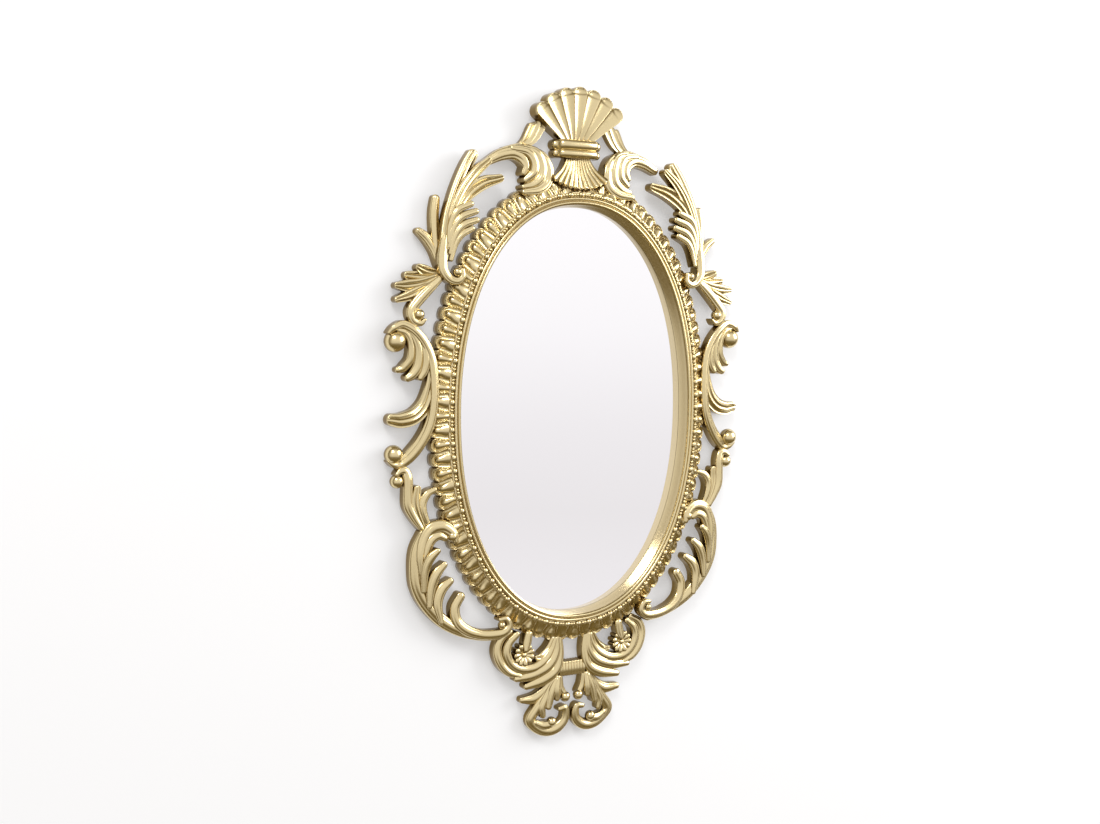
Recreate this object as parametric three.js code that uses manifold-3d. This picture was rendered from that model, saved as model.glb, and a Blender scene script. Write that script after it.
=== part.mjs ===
// Oval wall mirror in a gilded openwork frame: a rebated oval carcass carries a sight moulding,
// a bead row, a band of gadroons and twenty carved ornaments; a plain mirror plate lies in the
// rebate under a backing board and six turn buttons, and two ring hangers are screwed to the back.
// Millimetres, +Z up, front towards -Y. The origin is the oval's centre in the plane of the
// frame's flat back.
import * as THREE from "three";
import { mergeVertices } from "three/addons/utils/BufferGeometryUtils.js";
import Module from "manifold-3d";

// The oval. Every ring below is this oval moved outwards by a distance d, so d = 0 is the dark
// groove between the sight moulding and its fillet.
const ovalHalfWidth = 161;
const ovalHalfHeight = 246;
const ovalFullness = 2.15; // 2 is an ellipse, more is fuller at the shoulders
const fitGap = 0.3; // between any two pieces that seat on each other

// Mirror plate and backing board
const sightLip = 9; // how far inside the groove the visible plate ends
const plateEdge = 4; // how far inside the groove the plate's own edge lies
const plateFront = 8.5; // height of the plate's face over the back plane
const plateThickness = 4;
const boardThickness = 4;

// Carcass
const carcassOuter = 18; // its outer wall
const carcassShoulder = 6.5; // height of that wall
const seatHeight = 15; // front seat of the sight moulding and the bead row
const seatOuter = 7;

// Sight moulding, a deep cove, a torus and a fillet
const lipThickness = 0.8;
const torusInset = 4.3;
const torusRadius = 1.9;
const torusHeight = 26.5;
const filletWidth = 2.5;
const filletHeight = 27;

// Bead row
const beadCount = 88;
const beadRowWidth = 4.4;
const beadHeight = 27.3;
const beadNeck = 1.6; // how much lower the strip is between two beads

// Gadroon band, one gadroon to each bead
const gadroonTip = 26.6;
const gadroonValley = 22;
const gadroonInnerHeight = 24;
const gadroonTipHeight = 13;
const gadroonSwell = 1; // rise of the tongue over the band's straight slope
const gadroonSink = 1.4; // drop of the hollow between two gadroons

// Carvings
const carvingSeat = 22; // they are drawn from points of this oval
const carvingDepth = 13.5; // thickness under a crest, unless the flat back is nearer
const shoulderRise = 156; // height over the oval's centre where the upper sprays spring
const haunchRise = 130; // height over the foot where the lower scrolls curl
const linkMeet = 54; // depth under the oval's centre where the links meet the side scrolls
const bindingDrop = 38.5; // of the pendant's clasp below the foot
const bindingHalfWidth = 17.5;
const bindingHalfHeight = 8.5;
const bindingHeight = 14.5;
const bindingGroove = 2.5;

// Back fittings
const turnButtonCount = 6;
const buttonPivot = 1.5; // distance of the pivot outside the groove
const buttonReach = 12;
const buttonWidth = 8;
const buttonThickness = 1.5;
const screwRadius = 1.6;
const screwHeadRadius = 3;
const screwHeadHeight = 1.4;
const screwDepth = 6;
const hangerHeight = 80; // of the ring's pivot above the oval's centre
const strapWidth = 10;
const strapLength = 26;
const strapThickness = 1.2;
const ringWire = 1.1; // radius
const ringInnerWidth = 12.6;
const ringDrop = 15;
const bumperRadius = 5;
const bumperHeight = 5;
const bumperRise = 165; // above and below the oval's centre

// How finely the rings are faceted
const ringSteps = 56;
const lobeFineness = 0.78; // steps of a lobe for each of its spans
const facetTolerance = 0.15; // carved faces closer than this to flat are made flat
const crestStep = 15.4; // angle between two flutes of the shell, degrees

const gold = { color: 0xc9ae6a, roughness: 0.34, metalness: 0.85 };
const silver = { color: 0xe9e9ee, roughness: 0.04, metalness: 1 };
const board = { color: 0x8a6a48, roughness: 0.85, metalness: 0 };
const steel = { color: 0xb4b6b8, roughness: 0.35, metalness: 0.9 };
const rubber = { color: 0x2b2b2d, roughness: 0.8, metalness: 0 };

const wasm = await Module();
wasm.setup();
const mirror = new THREE.Group();
mirror.name = "oval_wall_mirror";

// ---------------------------------------------------------------- solids and meshes

function volumeOf(positions, index) {
  const corner = (i) => new THREE.Vector3().fromArray(positions, 3 * index[i]);
  let sum = 0;
  for (let i = 0; i < index.length; i += 3) {
    sum += corner(i).dot(corner(i + 1).cross(corner(i + 2)));
  }
  return sum;
}

// A geometry from points and triangles, turned so that its faces look outwards.
function closedGeometry(points, triangles) {
  const positions = points.flat();
  const index = triangles.flat();
  if (volumeOf(positions, index) < 0) index.reverse();
  const geometry = new THREE.BufferGeometry();
  geometry.setAttribute("position", new THREE.Float32BufferAttribute(positions, 3));
  geometry.setIndex(index);
  return geometry;
}

function toSolid(source) {
  const loose = source.clone();
  loose.deleteAttribute("normal");
  loose.deleteAttribute("uv");
  const merged = mergeVertices(loose, 1e-4);
  const vertProperties = new Float32Array(merged.attributes.position.array);
  const triVerts = new Uint32Array(merged.index.array);
  return new wasm.Manifold(new wasm.Mesh({ numProp: 3, vertProperties, triVerts }));
}

function toGeometry(solid) {
  const { vertProperties, triVerts, numProp } = solid.getMesh();
  const geometry = new THREE.BufferGeometry();
  const positions = new Float32Array((vertProperties.length / numProp) * 3);
  for (let i = 0; i < positions.length; i += 1) {
    positions[i] = vertProperties[Math.floor(i / 3) * numProp + (i % 3)];
  }
  geometry.setAttribute("position", new THREE.BufferAttribute(positions, 3));
  geometry.setIndex(new THREE.BufferAttribute(new Uint32Array(triVerts), 1));
  return geometry;
}

const union = (solids) => solids.reduce((whole, solid) => whole.add(solid));

function addMesh(name, geometry, finish, parent = mirror) {
  const mesh = new THREE.Mesh(geometry, new THREE.MeshStandardMaterial(finish));
  mesh.name = name;
  parent.add(mesh);
  return mesh;
}

// Joins sections of equal point count; the ends get caps, or meet when the loft is closed.
function loft(sections, closed = false) {
  const count = sections[0].length;
  const triangles = [];
  const last = closed ? sections.length : sections.length - 1;
  for (let s = 0; s < last; s += 1) {
    const here = s * count;
    const next = ((s + 1) % sections.length) * count;
    for (let i = 0; i < count; i += 1) {
      const j = (i + 1) % count;
      triangles.push([here + i, here + j, next + j], [here + i, next + j, next + i]);
    }
  }
  const end = (sections.length - 1) * count;
  for (let i = 1; !closed && i < count - 1; i += 1) {
    triangles.push([0, i + 1, i], [end, end + i, end + i + 1]);
  }
  return closedGeometry(sections.flat(), triangles);
}

// ---------------------------------------------------------------- the oval

const bend = (value) => Math.sign(value) * Math.abs(value) ** (2 / ovalFullness);

function ovalPoint(angle, d) {
  const x = (ovalHalfWidth + d) * bend(Math.cos(angle));
  const z = (ovalHalfHeight + d) * bend(Math.sin(angle));
  return [x, z];
}

// Angles that divide the oval into equal lengths, starting at the bottom.
function evenAngles(count) {
  const samples = 4000;
  const angles = [];
  const lengths = [0];
  for (let i = 0; i <= samples; i += 1) {
    angles.push(-Math.PI / 2 + (2 * Math.PI * i) / samples);
    if (i === 0) continue;
    const [x0, z0] = ovalPoint(angles[i - 1], carvingSeat);
    const [x1, z1] = ovalPoint(angles[i], carvingSeat);
    lengths.push(lengths[i - 1] + Math.hypot(x1 - x0, z1 - z0));
  }
  const result = [];
  let at = 0;
  for (let k = 0; k < count; k += 1) {
    const target = (lengths[samples] * k) / count;
    while (lengths[at + 1] < target) at += 1;
    const share = (target - lengths[at]) / (lengths[at + 1] - lengths[at]);
    result.push(angles[at] + share * (angles[at + 1] - angles[at]));
  }
  return result;
}

// A profile of [d, height] points carried round the oval.
function ovalRing(profile, steps = ringSteps) {
  const section = (angle) =>
    profile.map(([d, height]) => {
      const [x, z] = ovalPoint(angle, d);
      return [x, -height, z];
    });
  return loft(evenAngles(steps).map(section), true);
}

function ovalPlate(edge, low, high) {
  const outline = new THREE.Shape(
    evenAngles(ringSteps).map((angle) => new THREE.Vector2(...ovalPoint(angle, edge))),
  );
  const plate = new THREE.ExtrudeGeometry(outline, { depth: high - low, bevelEnabled: false });
  return plate.rotateX(Math.PI / 2).translate(0, -low, 0);
}

// Half width, at a height z, of the oval moved outwards by d.
function halfWidthAt(z, d = carvingSeat) {
  const rise = Math.abs(z) / (ovalHalfHeight + d);
  return (ovalHalfWidth + d) * (1 - rise ** ovalFullness) ** (1 / ovalFullness);
}

// ---------------------------------------------------------------- plate, carcass, mouldings

const plateBack = plateFront - plateThickness;
const boardFront = plateBack - fitGap;
const boardBack = boardFront - boardThickness;
const pocketEdge = fitGap - plateEdge;

addMesh("mirror_glass", ovalPlate(-plateEdge, plateBack, plateFront), silver);
addMesh("backing_board", ovalPlate(-plateEdge, boardBack, boardFront), board);

const carcassRing = ovalRing([
  [pocketEdge, 0],
  [pocketEdge, seatHeight],
  [seatOuter, seatHeight],
  [carcassOuter, carcassShoulder],
  [carcassOuter, 0],
]);

const mouldingSeat = seatHeight + fitGap;
const lipSeat = plateFront + fitGap;
const torusAt = (share, drop) => [share * torusRadius - torusInset, torusHeight - drop * torusRadius];
addMesh(
  "sight_moulding",
  ovalRing([
    [-sightLip, lipSeat],
    [-sightLip, lipSeat + lipThickness],
    [torusAt(-1.7)[0], (lipSeat + torusHeight) / 2],
    torusAt(-0.9, 0.5),
    torusAt(0, 0),
    torusAt(0.9, 0.5),
    torusAt(1.15, 1.2),
    [torusAt(1.6)[0], filletHeight - 0.5],
    [filletWidth - 1, filletHeight],
    [filletWidth, filletHeight - 2],
    [filletWidth, mouldingSeat],
    [pocketEdge - fitGap, mouldingSeat],
    [pocketEdge - fitGap, lipSeat],
  ]),
  gold,
);

function beadRow() {
  const inner = filletWidth + fitGap;
  const outer = inner + beadRowWidth;
  const middle = (inner + outer) / 2;
  const section = (angle, i) => {
    const sink = i % 2 === 0 ? 0 : beadNeck;
    const profile = [
      [inner, mouldingSeat],
      [middle, beadHeight - sink],
      [outer, mouldingSeat],
    ];
    return profile.map(([d, height]) => {
      const [x, z] = ovalPoint(angle, d);
      return [x, -height, z];
    });
  };
  return loft(evenAngles(2 * beadCount).map(section), true);
}
addMesh("bead_row", beadRow(), gold);

const bandInner = filletWidth + beadRowWidth + 2 * fitGap + 0.1;
const bandSeat = carcassOuter + fitGap;

// Two columns to a gadroon, the ridge of its tongue and the hollow to the next one. The band
// wraps round the carcass down to the back plane.
function gadroonBand() {
  const reach = [gadroonTip, gadroonValley];
  const rise = [gadroonSwell, -gadroonSink];
  const section = (angle, i) => {
    const tip = reach[i % 2];
    const middle = (bandInner + tip) / 2;
    const fall = (gadroonInnerHeight - gadroonTipHeight) / (gadroonTip - bandInner);
    const slope = (d) => gadroonInnerHeight - fall * (d - bandInner);
    const profile = [
      [bandInner, mouldingSeat],
      [bandInner, gadroonInnerHeight + rise[i % 2] / 2],
      [middle, slope(middle) + gadroonSwell + rise[i % 2]],
      [tip, slope(tip)],
      [tip, 0],
      [bandSeat, 0],
      [bandSeat, carcassShoulder + fitGap],
    ];
    return profile.map(([d, height]) => {
      const [x, z] = ovalPoint(angle, d);
      return [x, -height, z];
    });
  };
  return loft(evenAngles(2 * beadCount).map(section), true);
}
addMesh("gadroon_band", gadroonBand(), gold);

// What the ornaments leave free: the band with its gap and all inside it.
const keepOut = toSolid(
  ovalRing(
    [
      [-2 * sightLip, -1],
      [-2 * sightLip, beadHeight + 2],
      [bandInner, beadHeight + 2],
      [bandInner, gadroonInnerHeight + gadroonSwell / 2 + fitGap],
      [(bandInner + gadroonTip) / 2, (gadroonInnerHeight + gadroonTipHeight) / 2
        + 2 * gadroonSwell + fitGap],
      [gadroonTip + fitGap, gadroonTipHeight + fitGap],
      [gadroonTip + fitGap, -1],
    ],
    2 * ringSteps,
  ),
);

// ---------------------------------------------------------------- carved ornament

// Points of the seat oval that the carvings are drawn from.
const crestSeat = [0, ovalHalfHeight + carvingSeat];
const shoulderSeat = [halfWidthAt(shoulderRise), shoulderRise];
const sideSeat = [ovalHalfWidth + carvingSeat, 0];
const footSeat = [0, -crestSeat[1]];
const haunchSeat = [halfWidthAt(footSeat[1] + haunchRise), footSeat[1] + haunchRise];

const onFrame = (anchor, [u, v, ...sizes]) => [anchor[0] + u, anchor[1] + v, ...sizes];

// A lobe follows points of [out, up, half width, height]. Its relief is the drop from the crest
// to the shoulders, as a share of the half width, or below zero the depth of a hollow between
// two rims. Its underside lies depth below the crest, or on the back plane where that is nearer.
// grow adds a clearance all round, for cutting a neighbour.
function lobe(relief, points, grow, depth) {
  const crest = new THREE.CatmullRomCurve3(
    points.map(([x, z, , height]) => new THREE.Vector3(x, z, height)),
    false,
    "catmullrom",
  );
  const spread = new THREE.SplineCurve(points.map((p) => new THREE.Vector2(p[2], 0)));
  const steps = Math.max(Math.round(lobeFineness * (points.length - 1)), 3);
  const sections = [];
  for (let i = 0; i <= steps; i += 1) {
    const centre = crest.getPoint(i / steps);
    const along = crest.getTangent(i / steps).setZ(0).normalize();
    const half = Math.max(spread.getPoint(i / steps).x, 0.6) + grow;
    const push = grow * ((i === steps) - (i === 0));
    const shoulder = centre.z - half * Math.max(relief, 0) + grow;
    const middle = centre.z - half * Math.max(-relief, 0) + grow;
    const under = Math.max(centre.z - depth, 0) - grow;
    const corner = (side, height) => [
      -(centre.x + along.x * push - along.y * half * side),
      -height,
      centre.y + along.y * push + along.x * half * side,
    ];
    sections.push([
      corner(-1, under),
      corner(-1, shoulder),
      corner(0, middle),
      corner(1, shoulder),
      corner(1, under),
    ]);
  }
  return toSolid(loft(sections));
}

// A ball, as at the eye of a scroll, flattened where it would pass the back plane.
function boss([x, z, radius, height], grow, depth) {
  const r = radius + grow;
  const under = Math.max(height - Math.max(depth, 2 * radius), 0);
  const profile = [
    [0, under - grow],
    [0.75 * r, under - grow],
    [r, under + 0.25 * radius],
    [r, height - 0.9 * radius],
    [0.75 * r, height - 0.3 * radius],
    [0, height + grow],
  ].map((point) => new THREE.Vector2(point[0], -point[1]));
  const turned = new THREE.LatheGeometry(profile, 9).translate(-x, 0, z);
  return toSolid(closedGeometry(...pointsAndTriangles(turned)));
}

function pointsAndTriangles(geometry) {
  geometry.deleteAttribute("normal");
  geometry.deleteAttribute("uv");
  const merged = mergeVertices(geometry, 1e-4);
  const { array } = merged.attributes.position;
  const flat = Array.from(merged.index.array);
  const points = [];
  const triangles = [];
  for (let i = 0; i < array.length; i += 3) points.push([array[i], array[i + 1], array[i + 2]]);
  for (let i = 0; i < flat.length; i += 3) {
    const [a, b, c] = flat.slice(i, i + 3);
    if (a !== b && b !== c && c !== a) triangles.push([a, b, c]);
  }
  return [points, triangles];
}

// An ornament: lobes and bosses joined, as it is or grown by a clearance.
function carve({ anchor, ridges = [], flutes = [], bosses = [] }, grow = 0, depth = carvingDepth) {
  const place = (point) => onFrame(anchor, point);
  return union([
    ...ridges.map((points) => lobe(0.5, points.map(place), grow, depth)),
    ...flutes.map((points) => lobe(-0.35, points.map(place), grow, depth)),
    ...bosses.map((point) => boss(place(point), grow, depth)),
  ]);
}

// Seven flutes fan out from a point below the binding.
function shellFlutes() {
  const apex = 31;
  const rootRadius = 14;
  const tipRadius = 77;
  const halfShare = 1.06 * Math.tan(THREE.MathUtils.degToRad(crestStep / 2));
  const flutes = [];
  for (let i = -3; i <= 3; i += 1) {
    const angle = THREE.MathUtils.degToRad(crestStep * i);
    const place = (r, h) => [r * Math.sin(angle), apex + r * Math.cos(angle), r * halfShare, h];
    const tip = place(tipRadius - Math.abs(i) / 2, 19.5);
    tip[2] *= 0.55;
    flutes.push([place(rootRadius, 12), place(0.55 * tipRadius, 17), place(0.93 * tipRadius, 21), tip]);
  }
  return flutes;
}

// Six short flutes flare down from the binding over the band.
function skirtFlutes() {
  const flutes = [];
  for (const i of [-2.5, -1.5, -0.5, 0.5, 1.5, 2.5]) {
    const foot = -8 + 1.2 * i * i;
    flutes.push([
      [5 * i, 26, 2.6, 15],
      [9 * i, 8, 4.6, 22],
      [12.6 * i, foot, 6.4, 25],
    ]);
  }
  return flutes;
}

const crestShell = { anchor: crestSeat, flutes: shellFlutes() };
const crestSkirt = { anchor: crestSeat, flutes: skirtFlutes() };
const bindingBar = (v, w, lift) => [
  [-28.5, v, w - 1, 13 + lift],
  [-24, v, w, 20 + lift],
  [-16.5, v, w, 22 + lift],
  [0, v, w, 22.5 + lift],
  [16.5, v, w, 22 + lift],
  [24, v, w, 20 + lift],
  [28.5, v, w - 1, 13 + lift],
];
const crestBinding = {
  anchor: crestSeat,
  ridges: [bindingBar(40, 6.5, 0.5), bindingBar(29.5, 4.8, 0)],
};

const crestScroll = {
  anchor: crestSeat,
  ridges: [
    [[112, 18, 4, 11], [97, 25.5, 6, 13], [82, 28, 7, 14], [72, 24, 6.5, 16], [66, 16, 5, 17],
      [68, 10, 3, 15]],
    [[84, 33, 3, 13], [66, 29, 4.5, 17], [57.5, 19, 4.8, 19], [58, 8, 4.8, 19], [68, 1, 3, 17]],
    [[74, 34, 3, 13], [56, 29, 4.5, 17], [48, 16, 4.8, 20], [49, 3, 4.8, 20], [58, -5, 4.5, 20],
      [69, -7, 3, 18]],
    [[64, 34, 3, 13], [47, 25, 4.5, 17], [39.5, 11, 4.8, 20], [41, -4, 5, 21],
      [52, -12, 4.5, 21], [71, -14, 3.5, 20]],
  ],
  flutes: [
    [[76, 36, 2, 7], [64, 47, 3, 8], [56, 62, 3.5, 9]],
    [[72, 36, 2, 7], [57, 47, 3.5, 9], [48, 64, 4.5, 10]],
    [[68, 36, 2, 7], [52, 45, 3, 8], [40, 60, 4, 9]],
  ],
};

const upperSpray = {
  anchor: shoulderSeat,
  ridges: [
    [[16, 27, 5.5, 21], [18, 12, 5, 22], [14, -1, 4, 24], [4, -5, 3.5, 25], [-3, 1, 3, 25],
      [-1, 9, 2.5, 24]],
    [[18, 32, 3, 19], [20, 57, 4, 16], [22, 74, 5, 13], [26, 88, 4.5, 11]],
    [[16, 14, 3, 20], [24, 32, 4.5, 16], [34, 44, 4.5, 13], [46, 50.5, 2.5, 11]],
  ],
  flutes: [
    [[18, 14, 4, 21], [17, 47, 4.5, 21], [8, 82, 5.5, 19], [-6, 112, 6.5, 18], [-19, 136, 6, 17]],
    [[14, 52, 3, 22], [2, 85, 4, 22], [-14, 110, 5, 24], [-36, 129, 3.5, 26]],
    [[16, 42, 3, 22], [6, 70, 4, 22], [-8, 91, 5, 23], [-30, 106, 8, 23], [-51, 110, 3.5, 21]],
    [[16, 32, 3, 22], [11, 56, 3.5, 22], [1, 72, 4, 23], [-8, 77, 4, 23], [-17, 78.5, 3, 23]],
    [[15, 22, 3, 22], [12, 45, 3.5, 22], [2, 61, 4, 23], [-9, 68, 4, 23], [-21, 70.5, 3, 22]],
    [[15, 17, 3, 22], [14, 37, 3.5, 22], [6, 53, 3.5, 22], [-7, 60.5, 3.5, 22], [-19, 63, 2.5, 21]],
  ],
  bosses: [[4, 5, 5.5, 25]],
};

const sideFan = {
  anchor: shoulderSeat,
  ridges: [
    [[27, 0, 4, 19], [36, -15, 5, 19], [49, -30, 5.5, 19], [58, -42, 4.5, 19], [54, -51, 3.5, 20],
      [44, -50.5, 3, 20], [42, -43, 2, 19]],
  ],
  flutes: [
    [[17, 6, 3, 17], [34, 5, 4.5, 15], [45, 9, 4, 15]],
    [[18, 4, 2.5, 18], [41, -1, 5, 14], [58, -0.5, 3.5, 12]],
    [[19, 3, 2.5, 18], [46, -7, 4, 16], [71, -10.5, 3.5, 14]],
    [[20, 2, 2.5, 18], [46, -16, 4.5, 17], [71, -25, 3.5, 15]],
  ],
  bosses: [[49, -43, 5.5, 21]],
};

const sideScroll = {
  anchor: sideSeat,
  ridges: [
    [[55, 92, 2, 11], [46, 99, 3.5, 15], [33, 101, 4.5, 18], [20, 92, 4.5, 19], [11, 77, 4.2, 20],
      [5, 58, 3.8, 21], [2, 40, 3.8, 21], [1.5, 18, 4, 21], [4, -2, 5, 20], [13, -22, 7.5, 19],
      [22, -38, 8, 17], [34, -49, 7, 15], [47, -52, 4.5, 13], [57, -46, 3, 10], [59, -38, 2, 8]],
    [[8, 58, 3.5, 21], [8, 38, 4, 21], [11, 20, 4.5, 20], [21, 7, 4.5, 18], [35, 2.5, 4.5, 17],
      [49, 4, 3.5, 15]],
    [[5, 38, 3, 21], [6, 18, 4, 21], [12, 2, 4, 19], [24, -6, 4, 17], [37, -7.5, 4, 16],
      [50, -3, 3, 15]],
    [[33, 95, 3, 15], [29, 83, 3.5, 16], [26, 70, 4, 16], [29, 59, 4, 14], [39, 53, 2.5, 11]],
    [[26, 96, 3, 17], [20, 83, 5, 19], [16, 68, 6, 20], [20, 55, 6.5, 19], [26, 46, 5, 18]],
  ],
  bosses: [[46, 85, 10.5, 19], [49, -39, 8.5, 16]],
};

// The link is drawn for a rise of 84 from the lower scroll to the side scroll, and stretched.
const linkStretch = (-linkMeet - haunchSeat[1]) / 84;
const sideLink = {
  anchor: haunchSeat,
  ridges: [
    [[66, 72, 3, 11], [63.5, 81, 3.5, 12], [55, 79, 4, 13], [52, 69, 4.2, 14], [52, 55, 4.6, 15],
      [49, 41, 5, 16], [44, 28, 5, 17], [36, 10, 4, 18]],
    [[42, 59, 3, 15], [42, 46, 4, 16], [38, 32, 4, 17], [31, 12, 3, 18]],
    [[20, 57, 2.5, 13], [30, 51, 3.2, 15], [34, 39, 3.5, 16], [30.5, 27, 3.5, 17],
      [26, 12, 3, 18]],
  ],
  bosses: [[65, 69, 6.5, 12]],
};
for (const point of [...sideLink.ridges.flat(), ...sideLink.bosses]) point[1] *= linkStretch;

const lowerScroll = {
  anchor: haunchSeat,
  ridges: [
    [[-4, -2, 4, 22], [1, 5, 6, 22], [12, 10, 8.5, 22], [25, 9, 10, 21], [36, -2, 9, 20],
      [42, -22, 7, 18], [42, -44, 6, 17], [34, -66, 6, 17], [17, -87, 6, 18], [-6, -103, 5.5, 19],
      [-31, -113, 5, 21], [-53, -114, 5, 24], [-65, -109.5, 4, 25], [-68, -101, 3.5, 25],
      [-61, -96, 3, 24]],
    [[34, -49, 3, 17], [33, -32, 3.5, 19], [28, -18, 3.5, 22], [19, -10, 2.2, 23]],
    [[29, -68, 3.5, 17], [26, -50, 4.5, 18], [20, -36, 4.5, 19], [10, -28, 2.2, 19]],
    [[11, -90, 4, 18], [15, -72, 5, 18], [12, -58, 5, 17], [1, -48, 2.5, 16]],
    [[-28, -110, 4, 21], [-12, -97, 6.5, 19], [-6, -81, 7, 18], [-12, -68, 4, 16]],
  ],
  bosses: [[-61, -103, 4.5, 24]],
};

const pendantScroll = {
  anchor: footSeat,
  ridges: [
    [[90, 13, 3, 15], [99, 2, 3.5, 15], [98.5, -15, 4, 15], [89, -30, 4, 15], [72, -38, 2.5, 16]],
    [[78, 13, 3, 17], [90, 4, 3.5, 17], [91.5, -13, 4, 17], [82, -28, 4, 17], [65, -34, 4, 17],
      [45, -33, 3, 17]],
    [[70, 13, 2.5, 19], [81, 4, 3.5, 19], [84, -11, 3.5, 19], [77, -24, 3.5, 19],
      [63, -29.5, 3.5, 19], [47, -27, 2.5, 18]],
    [[56, 12, 3, 19], [55, 2, 4, 20], [61, -7, 3, 21]],
    [[27, 0, 4, 17], [32, -12, 6, 16], [47, -21, 3, 16]],
    [[25, 0, 3, 18], [29, -19, 4, 18], [43, -30, 4.5, 18], [60, -33, 3, 18]],
    [[21, 0, 3, 18], [25, -22, 4, 18], [44, -38, 5, 18], [77, -42, 2.5, 17]],
    [[17, 0, 3, 17], [18.5, -27, 4, 17], [33, -45, 5.5, 17], [62, -53, 2.5, 16]],
  ],
  bosses: [[67.5, -14, 12.5, 18]],
};

const pendantTail = {
  anchor: footSeat,
  ridges: [
    [[20, -34, 3.5, 13], [25, -52, 4, 13], [37, -69, 4.5, 13], [48, -84, 5, 12], [53, -97, 6, 10],
      [45, -110, 6.5, 9], [30, -115, 6, 9], [15.5, -110, 6.5, 9], [7.8, -101, 7.6, 9],
      [9, -86, 4.5, 9], [17, -87, 2.5, 8]],
    [[24, -52, 3, 13], [38, -65, 4, 11], [52, -72.5, 5, 10], [66, -70, 2.2, 9]],
    [[28, -59, 2.5, 14], [35, -74, 3.5, 14], [38, -85, 4.5, 13], [38.5, -92, 2.5, 12]],
    [[23, -54, 3, 15], [28, -67, 4, 15], [32, -80, 3.5, 13]],
    [[20, -49, 3, 15], [20.5, -62, 4, 15], [21, -72, 3, 14]],
    [[17, -46, 3, 14], [15, -60, 3.5, 14], [13.5, -70, 4, 14], [8, -74.5, 4, 13], [4, -70, 3.5, 13]],
    [[44, -99, 3, 11], [37, -106, 3.5, 12], [28, -106, 3.5, 12], [21, -101, 2, 11]],
  ],
};

// The small ribbed clasp that holds the two halves of the pendant together.
function pendantBinding() {
  const ribCount = 9;
  const hollow = bindingHeight - bindingGroove;
  const ribPitch = (2 * bindingHalfWidth) / ribCount;
  const outline = new THREE.Shape([new THREE.Vector2(-bindingHalfWidth, 0)]);
  for (let i = 0; i < ribCount; i += 1) {
    const left = -bindingHalfWidth + i * ribPitch;
    outline.lineTo(left, -hollow);
    outline.lineTo(left + ribPitch / 2, -bindingHeight);
  }
  outline.lineTo(bindingHalfWidth, -hollow);
  outline.lineTo(bindingHalfWidth, 0);
  const flat = { depth: 2 * bindingHalfHeight, bevelEnabled: false };
  const bottom = footSeat[1] - bindingDrop - bindingHalfHeight;
  return toSolid(new THREE.ExtrudeGeometry(outline, flat).translate(0, 0, bottom));
}

// Drops the crumbs that a cut leaves behind, and the slivers.
function mainBodies(solid) {
  const smallest = 0.02 * solid.volume();
  const bodies = solid.decompose().filter((body) => body.volume() > smallest);
  return union(bodies).simplify(facetTolerance);
}

function cut(ornament, ...neighbours) {
  const body = neighbours.reduce((rest, other) => rest.subtract(other), ornament);
  return mainBodies(body.subtract(keepOut));
}

function mirrored(geometry) {
  const [points, triangles] = pointsAndTriangles(geometry.clone());
  return closedGeometry(points.map(([x, y, z]) => [-x, y, z]), triangles);
}

function addPair(name, solid) {
  const left = toGeometry(solid);
  addMesh(`${name}_left`, left, gold);
  addMesh(`${name}_right`, mirrored(left), gold);
}

const centreSlit = toSolid(new THREE.BoxGeometry(fitGap, 3 * beadHeight, 3 * ovalHalfHeight));
const clear = (ornament) => carve(ornament, fitGap, Infinity);

addMesh("crest_binding", toGeometry(cut(carve(crestBinding))), gold);
addMesh("crest_shell", toGeometry(cut(carve(crestShell), clear(crestBinding))), gold);
addMesh("crest_skirt", toGeometry(cut(carve(crestSkirt), clear(crestBinding))), gold);
addPair("crest_scroll", cut(carve(crestScroll, 0, 17), clear(crestShell), clear(crestSkirt),
  clear(crestBinding), clear(upperSpray)));
addPair("upper_spray", cut(carve(upperSpray)));
addPair("side_fan", cut(carve(sideFan), clear(upperSpray)));
addPair("side_scroll", cut(carve(sideScroll), clear(sideFan)));
addPair("side_link", cut(carve(sideLink), clear(sideScroll), clear(lowerScroll)));
addPair("lower_scroll", cut(carve(lowerScroll)));
addPair("pendant_scroll", cut(carve(pendantScroll), clear(lowerScroll)));
addPair("pendant_tail", cut(carve(pendantTail), clear(pendantScroll), centreSlit));
const clearTail = clear(pendantTail).add(clear(pendantScroll));
const clearTailRight = toSolid(mirrored(toGeometry(clearTail)));
addMesh("pendant_binding", toGeometry(cut(pendantBinding(), clearTail, clearTailRight)), gold);

// ---------------------------------------------------------------- back fittings

// A round-headed screw driven towards the front, its head's seat at the height given.
function screwSolid([x, z], seat, grow = 0) {
  const profile = [
    [0, -screwDepth - grow],
    [screwRadius + grow, -screwDepth - grow],
    [screwRadius + grow, 0],
    [screwHeadRadius + grow, -grow],
    [0.7 * screwHeadRadius + grow, screwHeadHeight + grow],
    [0, screwHeadHeight + grow],
  ].map(([r, y]) => new THREE.Vector2(r, y));
  const screw = new THREE.LatheGeometry(profile, 6);
  return toSolid(closedGeometry(...pointsAndTriangles(screw.translate(x, -seat, z))));
}

// A flat bar with a round end about its pivot, which lies at the origin; it points along +X.
function buttonGeometry() {
  const half = buttonWidth / 2;
  const outline = new THREE.Shape();
  outline.absarc(0, 0, half, -Math.PI / 2, Math.PI / 2, true);
  outline.lineTo(buttonReach - 2, half - 1);
  outline.lineTo(buttonReach, half - 3);
  outline.lineTo(buttonReach, 3 - half);
  outline.lineTo(buttonReach - 2, 1 - half);
  const hole = new THREE.Path();
  hole.absarc(0, 0, screwRadius + fitGap, 0, 2 * Math.PI, false);
  outline.holes.push(hole);
  const flat = { depth: buttonThickness, bevelEnabled: false, curveSegments: 4 };
  return new THREE.ExtrudeGeometry(outline, flat).rotateX(Math.PI / 2);
}

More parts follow.
